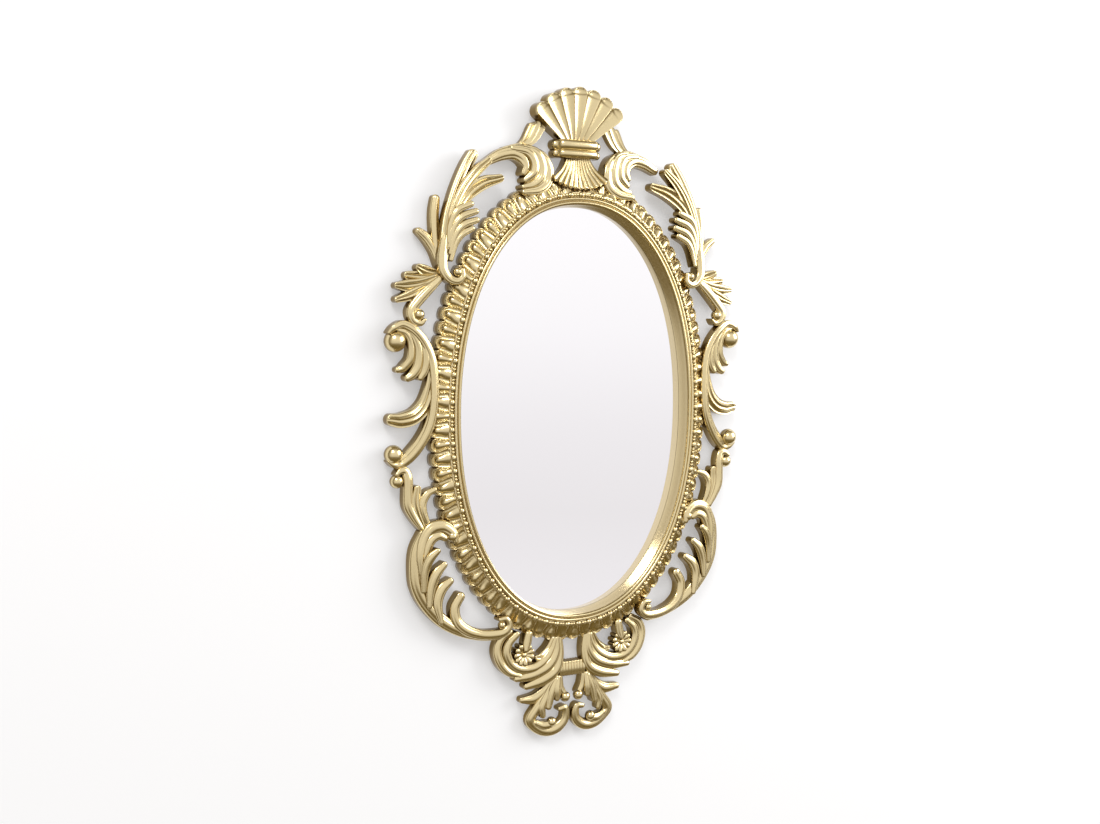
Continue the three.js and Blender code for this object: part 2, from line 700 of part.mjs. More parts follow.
const buttonFace = -fitGap - buttonThickness;
const buttonScrews = [];
for (let i = 0; i < turnButtonCount; i += 1) {
  const angle = (2 * Math.PI * (i + 0.5)) / turnButtonCount;
  const [x, z] = ovalPoint(angle, buttonPivot);
  const [xIn, zIn] = ovalPoint(angle, buttonPivot - buttonReach);
  const button = addMesh(`turn_button_${i + 1}`, buttonGeometry(), steel);
  button.position.set(x, -buttonFace, z);
  button.rotation.y = -Math.atan2(zIn - z, xIn - x);
  buttonScrews.push([[x, z], buttonFace - fitGap]);
}

// Ring hangers: a strap folded round the ring's straight side, on the middle of the back land.
const knuckleRadius = ringWire + fitGap + strapThickness;
const ringPivotY = fitGap + knuckleRadius;
const landMiddle = (pocketEdge + carcassOuter) / 2;
const hangerX = halfWidthAt(hangerHeight - strapLength / 2, landMiddle);
const strapScrewDrops = [0.35 * strapLength, 0.85 * strapLength];

function strapSolid() {
  const outline = new THREE.Shape([new THREE.Vector2(fitGap, -strapLength)]);
  const leave = Math.acos((strapThickness - knuckleRadius) / knuckleRadius);
  outline.absarc(ringPivotY, 0, knuckleRadius, Math.PI, -leave, true);
  outline.lineTo(fitGap + strapThickness, -strapLength);
  const eye = new THREE.Path();
  eye.absarc(ringPivotY, 0, ringWire + fitGap, 0, 2 * Math.PI, false);
  outline.holes.push(eye);
  const flat = { depth: strapWidth, bevelEnabled: false, curveSegments: 7 };
  const strap = new THREE.ExtrudeGeometry(outline, flat).translate(0, 0, -strapWidth / 2);
  const [xAxis, yAxis, zAxis] = [[1, 0, 0], [0, 1, 0], [0, 0, 1]].map((v) => new THREE.Vector3(...v));
  strap.applyMatrix4(new THREE.Matrix4().makeBasis(yAxis, zAxis, xAxis));
  return toSolid(strap);
}

// A wire D: straight through the knuckle, two legs and a round bottom.
function ringGeometry() {
  const half = ringInnerWidth / 2 + ringWire;
  const bow = half - ringWire;
  const path = [[-half, 0], [half, 0]];
  for (let i = 0; i <= 6; i += 1) {
    const angle = (Math.PI * i) / 6;
    path.push([half * Math.cos(angle), bow - ringDrop - bow * Math.sin(angle)]);
  }
  const sections = path.map(([x, z], i) => {
    const [x0, z0] = path[(i + path.length - 1) % path.length];
    const [x1, z1] = path[(i + 1) % path.length];
    const before = new THREE.Vector2(x - x0, z - z0).normalize();
    const after = new THREE.Vector2(x1 - x, z1 - z).normalize();
    const along = before.clone().add(after).normalize();
    const reach = ringWire / along.dot(before);
    return [0, 1, 2, 3, 4, 5].map((k) => {
      const turn = (Math.PI * (k + 0.5)) / 3;
      const out = reach * Math.cos(turn);
      return [x - along.y * out, ringWire * Math.sin(turn), z + along.x * out];
    });
  });
  return loft(sections, true);
}

const hangerScrews = [];
for (const [side, end] of [[-1, "left"], [1, "right"]]) {
  const x = side * hangerX;
  const screws = strapScrewDrops.map((drop) => [x, hangerHeight - drop]);
  const seat = -fitGap - strapThickness - fitGap;
  const holes = screws.map((place) => screwSolid(place, seat, fitGap));
  const strap = strapSolid().translate([x, 0, hangerHeight]);
  addMesh(`hanger_strap_${end}`, toGeometry(strap.subtract(union(holes))), steel);
  const ring = addMesh(`hanger_ring_${end}`, ringGeometry(), steel);
  ring.position.set(x, ringPivotY, hangerHeight);
  hangerScrews.push(...screws.map((place) => [place, seat]));
}

// Every screw, and its pilot hole in the carcass.
const screwSets = { button_screw: buttonScrews, hanger_screw: hangerScrews };
for (const [name, places] of Object.entries(screwSets)) {
  places.forEach(([place, seat], i) => {
    addMesh(`${name}_${i + 1}`, toGeometry(screwSolid(place, seat)), steel);
  });
}
const pilots = [...buttonScrews, ...hangerScrews].map((screw) => screwSolid(...screw, fitGap));
addMesh("oval_carcass", toGeometry(toSolid(carcassRing).subtract(union(pilots))), gold);

// Bumpers near the corners of the back keep the frame off the wall.
const bumperThickness = bumperHeight - fitGap;
[[-1, 1], [1, 1], [-1, -1], [1, -1]].forEach(([sideX, sideZ], i) => {
  const x = halfWidthAt(bumperRise, landMiddle);
  const pad = new THREE.CylinderGeometry(bumperRadius, bumperRadius, bumperThickness, 10);
  const bumper = addMesh(`bumper_pad_${i + 1}`, pad, rubber);
  bumper.position.set(sideX * x, fitGap + bumperThickness / 2, sideZ * bumperRise);
});

export default mirror;
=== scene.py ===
import math

import bpy
import numpy as np
from mathutils import Matrix, Vector


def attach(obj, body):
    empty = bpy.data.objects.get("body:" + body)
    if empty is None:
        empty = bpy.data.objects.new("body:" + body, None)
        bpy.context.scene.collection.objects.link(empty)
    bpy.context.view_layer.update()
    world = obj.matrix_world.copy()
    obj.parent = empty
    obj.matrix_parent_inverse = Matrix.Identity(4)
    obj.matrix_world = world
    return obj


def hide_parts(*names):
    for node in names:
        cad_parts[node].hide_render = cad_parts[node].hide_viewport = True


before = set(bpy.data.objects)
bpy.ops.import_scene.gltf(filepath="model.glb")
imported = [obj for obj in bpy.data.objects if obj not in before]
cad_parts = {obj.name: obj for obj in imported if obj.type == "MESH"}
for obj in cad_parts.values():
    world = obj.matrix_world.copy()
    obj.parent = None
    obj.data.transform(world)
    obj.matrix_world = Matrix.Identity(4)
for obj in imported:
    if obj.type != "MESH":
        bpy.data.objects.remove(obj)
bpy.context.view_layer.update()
mm = 0.001
print("frame loaded")

# the oval that all the rings follow, the same as in the CAD
oval = {
    "halfWidth": 161,
    "halfHeight": 246,
    "fullness": 2.15,
    "gadroons": 88,
    "measuredAt": 22,
    "samples": 6001,
}


def ovalPoint(angle, out):
    # a point on the oval moved outwards, in millimetres
    def bend(value):
        return math.copysign(abs(value) ** (2 / oval["fullness"]), value)

    x = (oval["halfWidth"] + out) * bend(math.cos(angle))
    z = (oval["halfHeight"] + out) * bend(math.sin(angle))
    return x, z


def evenAngles(count):
    # angles that cut the line under the carvings into equal lengths, from the bottom round
    samples = np.linspace(-math.pi / 2, 1.5 * math.pi, oval["samples"])
    points = np.array([ovalPoint(angle, oval["measuredAt"]) for angle in samples])
    steps = np.hypot(*np.diff(points, axis=0).T)
    lengths = np.concatenate([[0], np.cumsum(steps)])
    return np.interp(np.arange(count) * lengths[-1] / count, lengths, samples)


def deselectAll():
    for item in bpy.context.selected_objects:
        item.select_set(False)


def makeActive(item):
    deselectAll()
    item.select_set(True)
    bpy.context.view_layer.objects.active = item


def meshObject(name, points, faces):
    # points in millimetres as x, height over the back plane, z
    mesh = bpy.data.meshes.new(name)
    mesh.from_pydata([(x * mm, -height * mm, z * mm) for x, height, z in points], [], faces)
    item = bpy.data.objects.new(name, mesh)
    bpy.context.scene.collection.objects.link(item)
    return item


def smoothBelow(item, degrees):
    makeActive(item)
    bpy.ops.object.shade_smooth_by_angle(angle=math.radians(degrees))


def turnOutwards(item):
    makeActive(item)
    bpy.ops.object.mode_set(mode="EDIT")
    bpy.ops.mesh.select_all(action="SELECT")
    bpy.ops.mesh.normals_make_consistent(inside=False)
    bpy.ops.object.mode_set(mode="OBJECT")


def finishPiece(item, material, nodes, body="frame"):
    item.data.materials.clear()
    item.data.materials.append(material)
    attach(item, body)
    if nodes:
        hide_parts(*nodes)


# Gilding: one gold paint with painted shade in hollows, creases and side walls, set three ways for
# carvings, gadroons and turned rings

gilding = {
    "light": (0.74, 0.61, 0.335, 1),
    # the darker tone is painted shade, mixed into hollows, creases and side walls
    "deep": (0.20, 0.12, 0.012, 1),
    "lacquer": 0.5,
    "lacquerRoughness": 0.16,
    "metallic": 0.97,
    "roughness": 0.23,
    # how far round the painted shade reaches on carvings, gadroons and rings
    "shadeReach": 0.009,
    "bandShadeReach": 0.0055,
    "ringShadeReach": 0.003,
    "mottle": 0.02,
    "mottleScale": 120,
    "mottleDetail": 3,
    # how occlusion and the facing of side walls turn into painted shade
    "shadeSamples": 12,
    "shadeFrom": 0.08,
    "shadeTo": 0.55,
    "sideShadeFrom": -0.05,
    "sideShadeTo": -0.38,
}


def buildPaintedShadeGroup():
    # paints shade into the gold: hollows, creases, spots close to the wall and side walls turned from the
    # front are mixed towards a darker painted shade tone; it also mottles the sheen a little
    group = bpy.data.node_groups.new("gildedPaintedShade", "ShaderNodeTree")
    for name, kind, value in (
        ("Light", "NodeSocketColor", (1, 1, 1, 1)),
        ("Painted Shade", "NodeSocketColor", (0, 0, 0, 1)),
        ("Reach", "NodeSocketFloat", 0.006),
        ("Side Shade", "NodeSocketFloat", 1.0),
        ("Mottle", "NodeSocketFloat", 0.05),
        ("Roughness", "NodeSocketFloat", 0.3),
    ):
        socket = group.interface.new_socket(name=name, in_out="INPUT", socket_type=kind)
        socket.default_value = value
    for name, kind in (("Color", "NodeSocketColor"), ("Roughness", "NodeSocketFloat")):
        group.interface.new_socket(name=name, in_out="OUTPUT", socket_type=kind)
    nodes, links = group.nodes, group.links
    start = nodes.new("NodeGroupInput")
    end = nodes.new("NodeGroupOutput")
    # painted shade from ambient occlusion, which also counts the wall behind
    hollow = nodes.new("ShaderNodeAmbientOcclusion")
    hollow.samples = gilding["shadeSamples"]
    hollow.only_local = False
    ramp = nodes.new("ShaderNodeMapRange")
    ramp.inputs["From Min"].default_value = gilding["shadeFrom"]
    ramp.inputs["From Max"].default_value = gilding["shadeTo"]
    place = nodes.new("ShaderNodeTexCoord")
    split = nodes.new("ShaderNodeSeparateXYZ")
    # painted shade on side walls: the less a face looks to the front, the darker it is painted
    front = nodes.new("ShaderNodeMapRange")
    front.inputs["From Min"].default_value = gilding["sideShadeFrom"]
    front.inputs["From Max"].default_value = gilding["sideShadeTo"]
    side = nodes.new("ShaderNodeMix")
    side.inputs["A"].default_value = 1
    share = nodes.new("ShaderNodeMath")
    share.operation = "MULTIPLY"
    noise = nodes.new("ShaderNodeTexNoise")
    noise.inputs["Scale"].default_value = gilding["mottleScale"]
    noise.inputs["Detail"].default_value = gilding["mottleDetail"]
    mottle = nodes.new("ShaderNodeMath")
    mottle.operation = "MULTIPLY_ADD"
    shift = nodes.new("ShaderNodeMath")
    shift.operation = "SUBTRACT"
    shift.inputs[1].default_value = 0.5
    mix = nodes.new("ShaderNodeMix")
    mix.data_type = "RGBA"
    links.new(start.outputs["Reach"], hollow.inputs["Distance"])
    links.new(hollow.outputs["AO"], ramp.inputs["Value"])
    links.new(place.outputs["Normal"], split.inputs[0])
    links.new(split.outputs["Y"], front.inputs["Value"])
    links.new(ramp.outputs["Result"], share.inputs[0])
    links.new(start.outputs["Side Shade"], side.inputs["Factor"])
    links.new(front.outputs["Result"], side.inputs["B"])
    links.new(side.outputs["Result"], share.inputs[1])
    links.new(share.outputs[0], mix.inputs["Factor"])
    links.new(start.outputs["Painted Shade"], mix.inputs["A"])
    links.new(start.outputs["Light"], mix.inputs["B"])
    links.new(mix.outputs["Result"], end.inputs["Color"])
    links.new(place.outputs["Object"], noise.inputs["Vector"])
    links.new(noise.outputs["Fac"], shift.inputs[0])
    links.new(shift.outputs[0], mottle.inputs[0])
    links.new(start.outputs["Mottle"], mottle.inputs[1])
    links.new(start.outputs["Roughness"], mottle.inputs[2])
    links.new(mottle.outputs[0], end.inputs["Roughness"])
    return group


paintedShadeGroup = buildPaintedShadeGroup()


def newMaterial(name, color, metallic, roughness):
    material = bpy.data.materials.new(name)
    material.use_nodes = True
    shader = material.node_tree.nodes["Principled BSDF"]
    shader.inputs["Base Color"].default_value = color
    shader.inputs["Metallic"].default_value = metallic
    shader.inputs["Roughness"].default_value = roughness
    return material, shader


def gildedMaterial(name, reach, sideShade):
    material, shader = newMaterial(name, gilding["light"], gilding["metallic"], gilding["roughness"])
    tree = material.node_tree
    # this group mixes the gold towards its painted shade tone in hollows and on side walls
    paintedShadeNode = tree.nodes.new("ShaderNodeGroup")
    paintedShadeNode.node_tree = paintedShadeGroup
    paintedShadeNode.inputs["Light"].default_value = gilding["light"]
    paintedShadeNode.inputs["Painted Shade"].default_value = gilding["deep"]
    paintedShadeNode.inputs["Reach"].default_value = reach
    paintedShadeNode.inputs["Side Shade"].default_value = sideShade
    paintedShadeNode.inputs["Mottle"].default_value = gilding["mottle"]
    paintedShadeNode.inputs["Roughness"].default_value = gilding["roughness"]
    shader.inputs["Coat Weight"].default_value = gilding["lacquer"]
    shader.inputs["Coat Roughness"].default_value = gilding["lacquerRoughness"]
    tree.links.new(paintedShadeNode.outputs["Color"], shader.inputs["Base Color"])
    tree.links.new(paintedShadeNode.outputs["Roughness"], shader.inputs["Roughness"])
    return material


speckleDetail = 4


def speckledMaterial(name, color, second, metallic, roughness, scale):
    # a plain finish whose tone wanders finely to a second colour
    material, shader = newMaterial(name, color, metallic, roughness)
    nodes, links = material.node_tree.nodes, material.node_tree.links
    place = nodes.new("ShaderNodeTexCoord")
    noise = nodes.new("ShaderNodeTexNoise")
    noise.inputs["Scale"].default_value = scale
    noise.inputs["Detail"].default_value = speckleDetail
    mix = nodes.new("ShaderNodeMix")
    mix.data_type = "RGBA"
    mix.inputs["A"].default_value = color
    mix.inputs["B"].default_value = second
    links.new(place.outputs["Object"], noise.inputs["Vector"])
    links.new(noise.outputs["Fac"], mix.inputs["Factor"])
    links.new(mix.outputs["Result"], shader.inputs["Base Color"])
    return material


# three golds that differ only in how far the painted shade reaches and whether side walls take it
goldPaint = gildedMaterial("champagneGold", gilding["shadeReach"], 1)
bandGold = gildedMaterial("bandGold", gilding["bandShadeReach"], 1)
ringGold = gildedMaterial("ringGoldShortShade", gilding["ringShadeReach"], 0)


# foot and head are painted reflection tones for the mirror's lower and upper parts
silvering = {
    "base": (1, 1, 1, 1),
    "foot": (0.95, 0.94, 0.96, 1),
    "head": (1.0, 0.995, 1.0, 1),
    "paintedFadeFrom": -0.08,
    "paintedFadeTo": 0.2,
    "roughness": 0.02,
}


def buildMirrorSilverWithPaintedReflection():
    # silvering that greys a little towards the foot, a painted reflection of the dimmer room below
    material, shader = newMaterial("mirrorSilver", silvering["base"], 1.0, silvering["roughness"])
    nodes, links = material.node_tree.nodes, material.node_tree.links
    place = nodes.new("ShaderNodeTexCoord")
    split = nodes.new("ShaderNodeSeparateXYZ")
    rise = nodes.new("ShaderNodeMapRange")
    rise.interpolation_type = "SMOOTHSTEP"
    rise.inputs["From Min"].default_value = silvering["paintedFadeFrom"]
    rise.inputs["From Max"].default_value = silvering["paintedFadeTo"]
    mix = nodes.new("ShaderNodeMix")
    mix.data_type = "RGBA"
    mix.inputs["A"].default_value = silvering["foot"]
    mix.inputs["B"].default_value = silvering["head"]
    links.new(place.outputs["Object"], split.inputs[0])
    links.new(split.outputs["Z"], rise.inputs["Value"])
    links.new(rise.outputs["Result"], mix.inputs["Factor"])
    links.new(mix.outputs["Result"], shader.inputs["Base Color"])
    return material


mirrorSilver = buildMirrorSilverWithPaintedReflection()
boardBrown = speckledMaterial(
    "hardboard", color=(0.30, 0.19, 0.10, 1), second=(0.22, 0.13, 0.07, 1),
    metallic=0, roughness=0.8, scale=260,
)
zincSteel = speckledMaterial(
    "zincSteel", color=(0.62, 0.63, 0.65, 1), second=(0.5, 0.5, 0.52, 1),
    metallic=1.0, roughness=0.32, scale=300,
)
padBlack = speckledMaterial(
    "padRubber", color=(0.03, 0.03, 0.03, 1), second=(0.05, 0.05, 0.05, 1),
    metallic=0, roughness=0.75, scale=400,
)
print("materials built")

# Rings round the plate, as [distance outside the oval, height over the back plane]

mouldingShape = {
    "profile": [
        (-9.0, 8.8), (-9.0, 9.4), (-8.9, 10.4), (-8.6, 12.6), (-8.2, 15.2), (-7.7, 17.8),
        (-7.2, 20.2), (-6.9, 22.0), (-6.7, 23.4), (-6.3, 24.8), (-5.6, 25.9), (-4.7, 26.5),
        (-3.8, 26.5), (-3.0, 26.0), (-2.5, 25.1), (-2.2, 24.2), (-1.9, 24.2), (-1.6, 24.9),
        (-1.2, 25.5), (-0.5, 26.0), (0.3, 26.2), (1.1, 26.0), (1.7, 25.4), (2.0, 24.4),
        (2.2, 23.0), (2.2, 15.3), (-4.0, 15.3), (-4.0, 8.8),
    ],
    "steps": 288,
    "crease": 50,
}
carcassShape = {
    "profile": [(-3.7, 0.4), (-3.7, 15), (7, 15), (18, 6.5), (18, 0.4), (17.6, 0), (-3.3, 0)],
    "steps": 288,
    "crease": 30,
}


def sweepOval(name, profile, steps):
    points, faces = [], []
    count = len(profile)
    for angle in evenAngles(steps):
        for out, height in profile:
            x, z = ovalPoint(angle, out)
            points.append((x, height, z))
    for s in range(steps):
        here, there = s * count, ((s + 1) % steps) * count
        for i in range(count):
            j = (i + 1) % count
            faces.append((here + i, here + j, there + j, there + i))
    item = meshObject(name, points, faces)
    turnOutwards(item)
    return item


moulding = sweepOval("sightMoulding", mouldingShape["profile"], mouldingShape["steps"])
smoothBelow(moulding, mouldingShape["crease"])
finishPiece(moulding, ringGold, ["sight_moulding"])

carcass = sweepOval("ovalCarcass", carcassShape["profile"], carcassShape["steps"])
smoothBelow(carcass, carcassShape["crease"])
finishPiece(carcass, goldPaint, ["oval_carcass"])
print("moulding and carcass swept")

beadShape = {
    "out": 4.9,
    "height": 24.1,
    "radius": 3.1,
    "length": 4.1,
    "smallRadius": 2.0,
    "smallAt": 0.385,
    "strip": [(2.1, 15.3), (2.1, 23.2), (3.4, 23.7), (6.4, 23.7), (7.9, 23.2), (7.9, 15.3)],
    "stripSteps": 288,
    "segments": 14,
    "rings": 10,
    "aimStep": 0.002,
    "crease": 50,
}


def sphereTemplate(segments, rings):
    deselectAll()
    bpy.ops.mesh.primitive_uv_sphere_add(segments=segments, ring_count=rings, radius=1)
    ball = bpy.context.object
    points = [tuple(vertex.co) for vertex in ball.data.vertices]
    faces = [tuple(face.vertices) for face in ball.data.polygons]
    mesh = ball.data
    bpy.data.objects.remove(ball)
    bpy.data.meshes.remove(mesh)
    return points, faces


def addBead(points, faces, angle, radius, length, template):
    x, z = ovalPoint(angle, beadShape["out"])
    xNext, zNext = ovalPoint(angle + beadShape["aimStep"], beadShape["out"])
    along = Vector((xNext - x, 0, zNext - z)).normalized()
    across = Vector((along.z, 0, -along.x))
    start = len(points)
    for a, b, c in template[0]:
        spot = Vector((x, 0, z)) + along * (a * length) + across * (b * radius)
        points.append((spot.x, beadShape["height"] + c * radius, spot.z))
    faces.extend([tuple(start + i for i in face) for face in template[1]])


def buildBeads():
    # a long bead at every gadroon and two small ones between
    template = sphereTemplate(beadShape["segments"], beadShape["rings"])
    points, faces = [], []
    count = oval["gadroons"]
    angles = evenAngles(count)
    for i, angle in enumerate(angles):
        step = (angles[(i + 1) % count] - angle) % (2 * math.pi)
        addBead(points, faces, angle, beadShape["radius"], beadShape["length"], template)
        for share in (beadShape["smallAt"], 1 - beadShape["smallAt"]):
            small = beadShape["smallRadius"]
            addBead(points, faces, angle + share * step, small, small, template)
    beads = meshObject("beads", points, faces)
    strip = sweepOval("beadStrip", beadShape["strip"], beadShape["stripSteps"])
    deselectAll()
    strip.select_set(True)
    beads.select_set(True)
    bpy.context.view_layer.objects.active = beads
    bpy.ops.object.join()
    turnOutwards(beads)
    smoothBelow(beads, beadShape["crease"])
    return beads


beads = buildBeads()
finishPiece(beads, ringGold, ["bead_row"])
print("beads strung")

gadroonShape = {
    "inner": 7.6,
    "tip": 26.6,
    "valley": 21.2,
    "innerHeight": 24.0,
    "tipHeight": 13.6,
    "sunk": 3.1,
    "rimWidth": 1.1,
    "rimRise": 2.3,
    "neck": 5.2,
    "bodyRise": 4.4,
    "bodyStart": 0.84,
    "bulb": 5.7,
    "waist": 3.3,
    "tongue": 5.4,
    "flare": 7.0,
    "blend": 1.0,
    "flareLength": 0.6,
    "bulbFrom": 0.1,
    "bulbLength": 0.5,
    "capShare": 0.43,
    "capDepth": 0.72,
    "capInset": 0.7,
    "neckFrom": 0.05,
    "neckLength": 0.6,
    "headDepth": 0.26,
    "leastShare": 0.01,
    "swellBase": 0.62,
    "swellRise": 0.38,
    "swellAt": 0.62,
    "swellSpread": 0.22,
    "bodyFullness": 0.8,
    "fullHalf": 4.5,
    "notch": 2.4,
    "shoulder": (18.3, 6.8),
    "foot": (18.3, 0),
    "seatHeight": 15.3,
    "lipInset": 0.25,
    "lipRise": 0.1,
    "lipDrop": 0.9,
    "wallMiddle": 6,
    "wallFoot": 0.5,
    "footInset": 0.5,
    "columns": 56,
    "rows": 32,
    "pitch": 16.7,
    "crease": 60,
}


def eased(value):
    value = min(max(value, 0.0), 1.0)
    return value * value * (3 - 2 * value)


def softMax(first, second):
    blend = gadroonShape["blend"]
    share = max(blend - abs(first - second), 0) / blend
    return max(first, second) + share ** 3 * blend / 6


def bodyHalf(t, flared):
    # half width of the swelling between the beads and the tip
    g = gadroonShape
    if flared:
        return g["flare"] + (g["tongue"] - g["flare"]) * eased(t / g["flareLength"])
    grown = eased((t - g["bulbFrom"]) / g["bulbLength"])
    return g["waist"] + (g["bulb"] - g["waist"]) * grown


def gadroonHeight(a, t):
    # a runs over two gadroons, a rimmed drop in the middle and half a flared tongue each side
    g = gadroonShape
    pitch = g["pitch"]
    length = g["tip"] - g["inner"]
    base = g["innerHeight"] + (g["tipHeight"] - g["innerHeight"]) * t
    flared = abs(a) > pitch / 2
    b = abs(abs(a) - pitch) if flared else abs(a)
    cap = g["capShare"] * pitch
    toTip = (1 - t) * length - g["capInset"]
    depth = g["capDepth"] * cap
    if toTip < depth:
        rim = abs(math.hypot(b, (depth - toTip) * cap / depth) - cap)
    else:
        neck = g["neck"] + (cap - g["neck"]) * eased((t - g["neckFrom"]) / g["neckLength"])
        rim = abs(abs(a) - neck)
    rise = g["rimRise"] * math.exp(-((rim / g["rimWidth"]) ** 2))
    half = bodyHalf(t, flared)
    left = min(max((g["bodyStart"] - t) / g["headDepth"], 0), 1)
    half *= math.sqrt(left * (2 - left)) + g["leastShare"]
    if b < half:
        share = b / half
        bump = math.exp(-(((t - g["swellAt"]) / g["swellSpread"]) ** 2))
        swell = g["swellBase"] + g["swellRise"] * bump
        profile = (1 - share * share) ** g["bodyFullness"]
        rise = softMax(rise, g["bodyRise"] * swell * profile * min(half / g["fullHalf"], 1))
    return base - g["sunk"] + rise


def gadroonEdge(a):
    # the scalloped outline, deeply notched between two tips
    g = gadroonShape
    pitch = g["pitch"]
    b = abs((a + pitch / 2) % pitch - pitch / 2) / (pitch / 2)
    return g["valley"] + (g["tip"] - g["valley"]) * math.sqrt(max(1 - b ** g["notch"], 0))


def buildGadroons():
    g = gadroonShape
    pairs = oval["gadroons"] // 2
    columns, rows = g["columns"], g["rows"]
    angles = evenAngles(pairs * columns)
    points, faces = [], []
    for k, angle in enumerate(angles):
        a = (((k + columns / 2) % columns) / columns - 0.5) * 2 * g["pitch"]
        edge = gadroonEdge(a)
        column = [g["shoulder"], (g["inner"], g["seatHeight"])]
        for r in range(rows + 1):
            share = r / rows
            out = g["inner"] + (edge - g["inner"]) * share
            t = (out - g["inner"]) / (g["tip"] - g["inner"])
            column.append((out, gadroonHeight(a, t)))
        lip = column[-1][1]
        column[-1] = (edge - g["lipInset"], lip + g["lipRise"])
        column += [(edge, lip - g["lipDrop"]), (edge, g["wallMiddle"]), (edge, g["wallFoot"])]
        column += [(edge - g["footInset"], 0), g["foot"]]
        for out, height in column:
            x, z = ovalPoint(angle, out)
            points.append((x, height, z))
    size = len(column)
    total = len(angles)
    for k in range(total):
        here, there = k * size, ((k + 1) % total) * size
        for i in range(size):
            j = (i + 1) % size
            faces.append((here + i, here + j, there + j, there + i))
    band = meshObject("gadroonBand", points, faces)
    turnOutwards(band)
    smoothBelow(band, g["crease"])
    return band


band = buildGadroons()
finishPiece(band, bandGold, ["gadroon_band"])
print("gadroons shaped")

# Carvings, drawn on the left half as [out, up, half width, height]

carving = {
    "stationStep": 1.6,
    "sectionPoints": 31,
    "thickness": 13.5,
    "floorStep": 0.06,
    "scrollThickness": 17,
    "shellThickness": 17.5,
    "hollow": 0.22,
    "groove": 0.08,
    "grooveAt": 0.5,
    "taper": 0.4,
    "roundness": 0.62,
    "swell": 1.26,
    "taperFrom": 0.62,
    "capTurns": (15, 30, 44, 57, 68, 77, 84, 89),
    "capReach": 0.9,
    "ballSteps": 28,
    "ballRings": 15,
    "ballLatitude": 80,
    "crease": 48,
}

# how each kind of section falls from its crest, as shares of the half width
section = {
    "almostRound": 0.98,
    "rollDepth": 0.95,
    "bowlEdge": 0.9,
    "bowlDepth": 0.2,
    "bowlFullness": 0.7,
    "bowlRim": 0.4,
    "rimWidth": 0.1,
    "pleatEdge": 0.86,
    "pleatDepth": 0.6,
    "pleatRim": 0.4,
    "pleatRimWidth": 0.14,
    "fluteRidges": 1.5,
    "fluteSide": 0.28,
    "fluteRim": 0.35,
    "grooveWidth": 0.16,
    "grooveFromHalf": 2.4,
    "grooveGrowth": 1.6,
}


def smoothPath(points, step):
    # a Catmull-Rom line through the points, evenly stepped
    p = np.array(points, float)
    p = np.vstack([2 * p[0] - p[1], p, 2 * p[-1] - p[-2]])
    out = []
    for i in range(1, len(p) - 2):
        span = np.hypot(*(p[i + 1, :2] - p[i, :2]))
        count = max(2, int(span / step))
        for k in range(count):
            t = k / count
            a, b, c, d = p[i - 1], p[i], p[i + 1], p[i + 2]
            out.append(
                0.5 * (2 * b + (c - a) * t + (2 * a - 5 * b + 4 * c - d) * t * t
                       + (3 * b - a - 3 * c + d) * t ** 3)
            )
    out.append(p[-2])
    return np.array(out)


def sectionDrop(kind, u, end, width):
    # how far the surface lies under the crest, as a share of the half width
    # end runs from 0 along the lobe to 1 at the very tip
    v = section
    out = math.sqrt(end * end + u * u * (1 - end * end))
    rounding = 1 - math.sqrt(max(1 - v["almostRound"] * out * out, 0))
    if kind == "roll":
        return v["rollDepth"] * rounding
    if kind == "spoon":
        # a shallow bowl inside a thin raised rim
        edge = max(0.0, (out - v["bowlEdge"]) / v["rimWidth"])
        bowl = (1 - min(out / v["bowlEdge"], 1) ** 2) ** v["bowlFullness"]
        return v["bowlDepth"] * bowl + v["bowlRim"] * edge * edge
    if kind == "pleat":
        edge = max(0.0, (out - v["pleatEdge"]) / v["pleatRimWidth"])
        bowl = 1 - min(out / v["pleatEdge"], 1) ** 2
        return v["pleatDepth"] * bowl + v["pleatRim"] * edge * edge
    if kind == "flute":
        # three hollows with sharp ridges between
        part = (abs(u) * v["fluteRidges"] + 0.5) % 1
        hollow = (1 - (2 * part - 1) ** 2) * (1 - end * end)
        edge = max(0.0, (out - v["bowlEdge"]) / v["rimWidth"])
        side = v["fluteSide"] * out * out
        return carving["hollow"] * hollow + side + v["fluteRim"] * edge * edge
    # a rounded ridge with a groove down each side
    groove = math.exp(-(((abs(u) - carving["grooveAt"]) / v["grooveWidth"]) ** 2)) * (1 - end * end)
    depth = min(max(width - v["grooveFromHalf"], 0) / v["grooveGrowth"], 1)
    return carving["roundness"] * rounding + carving["groove"] * groove * depth


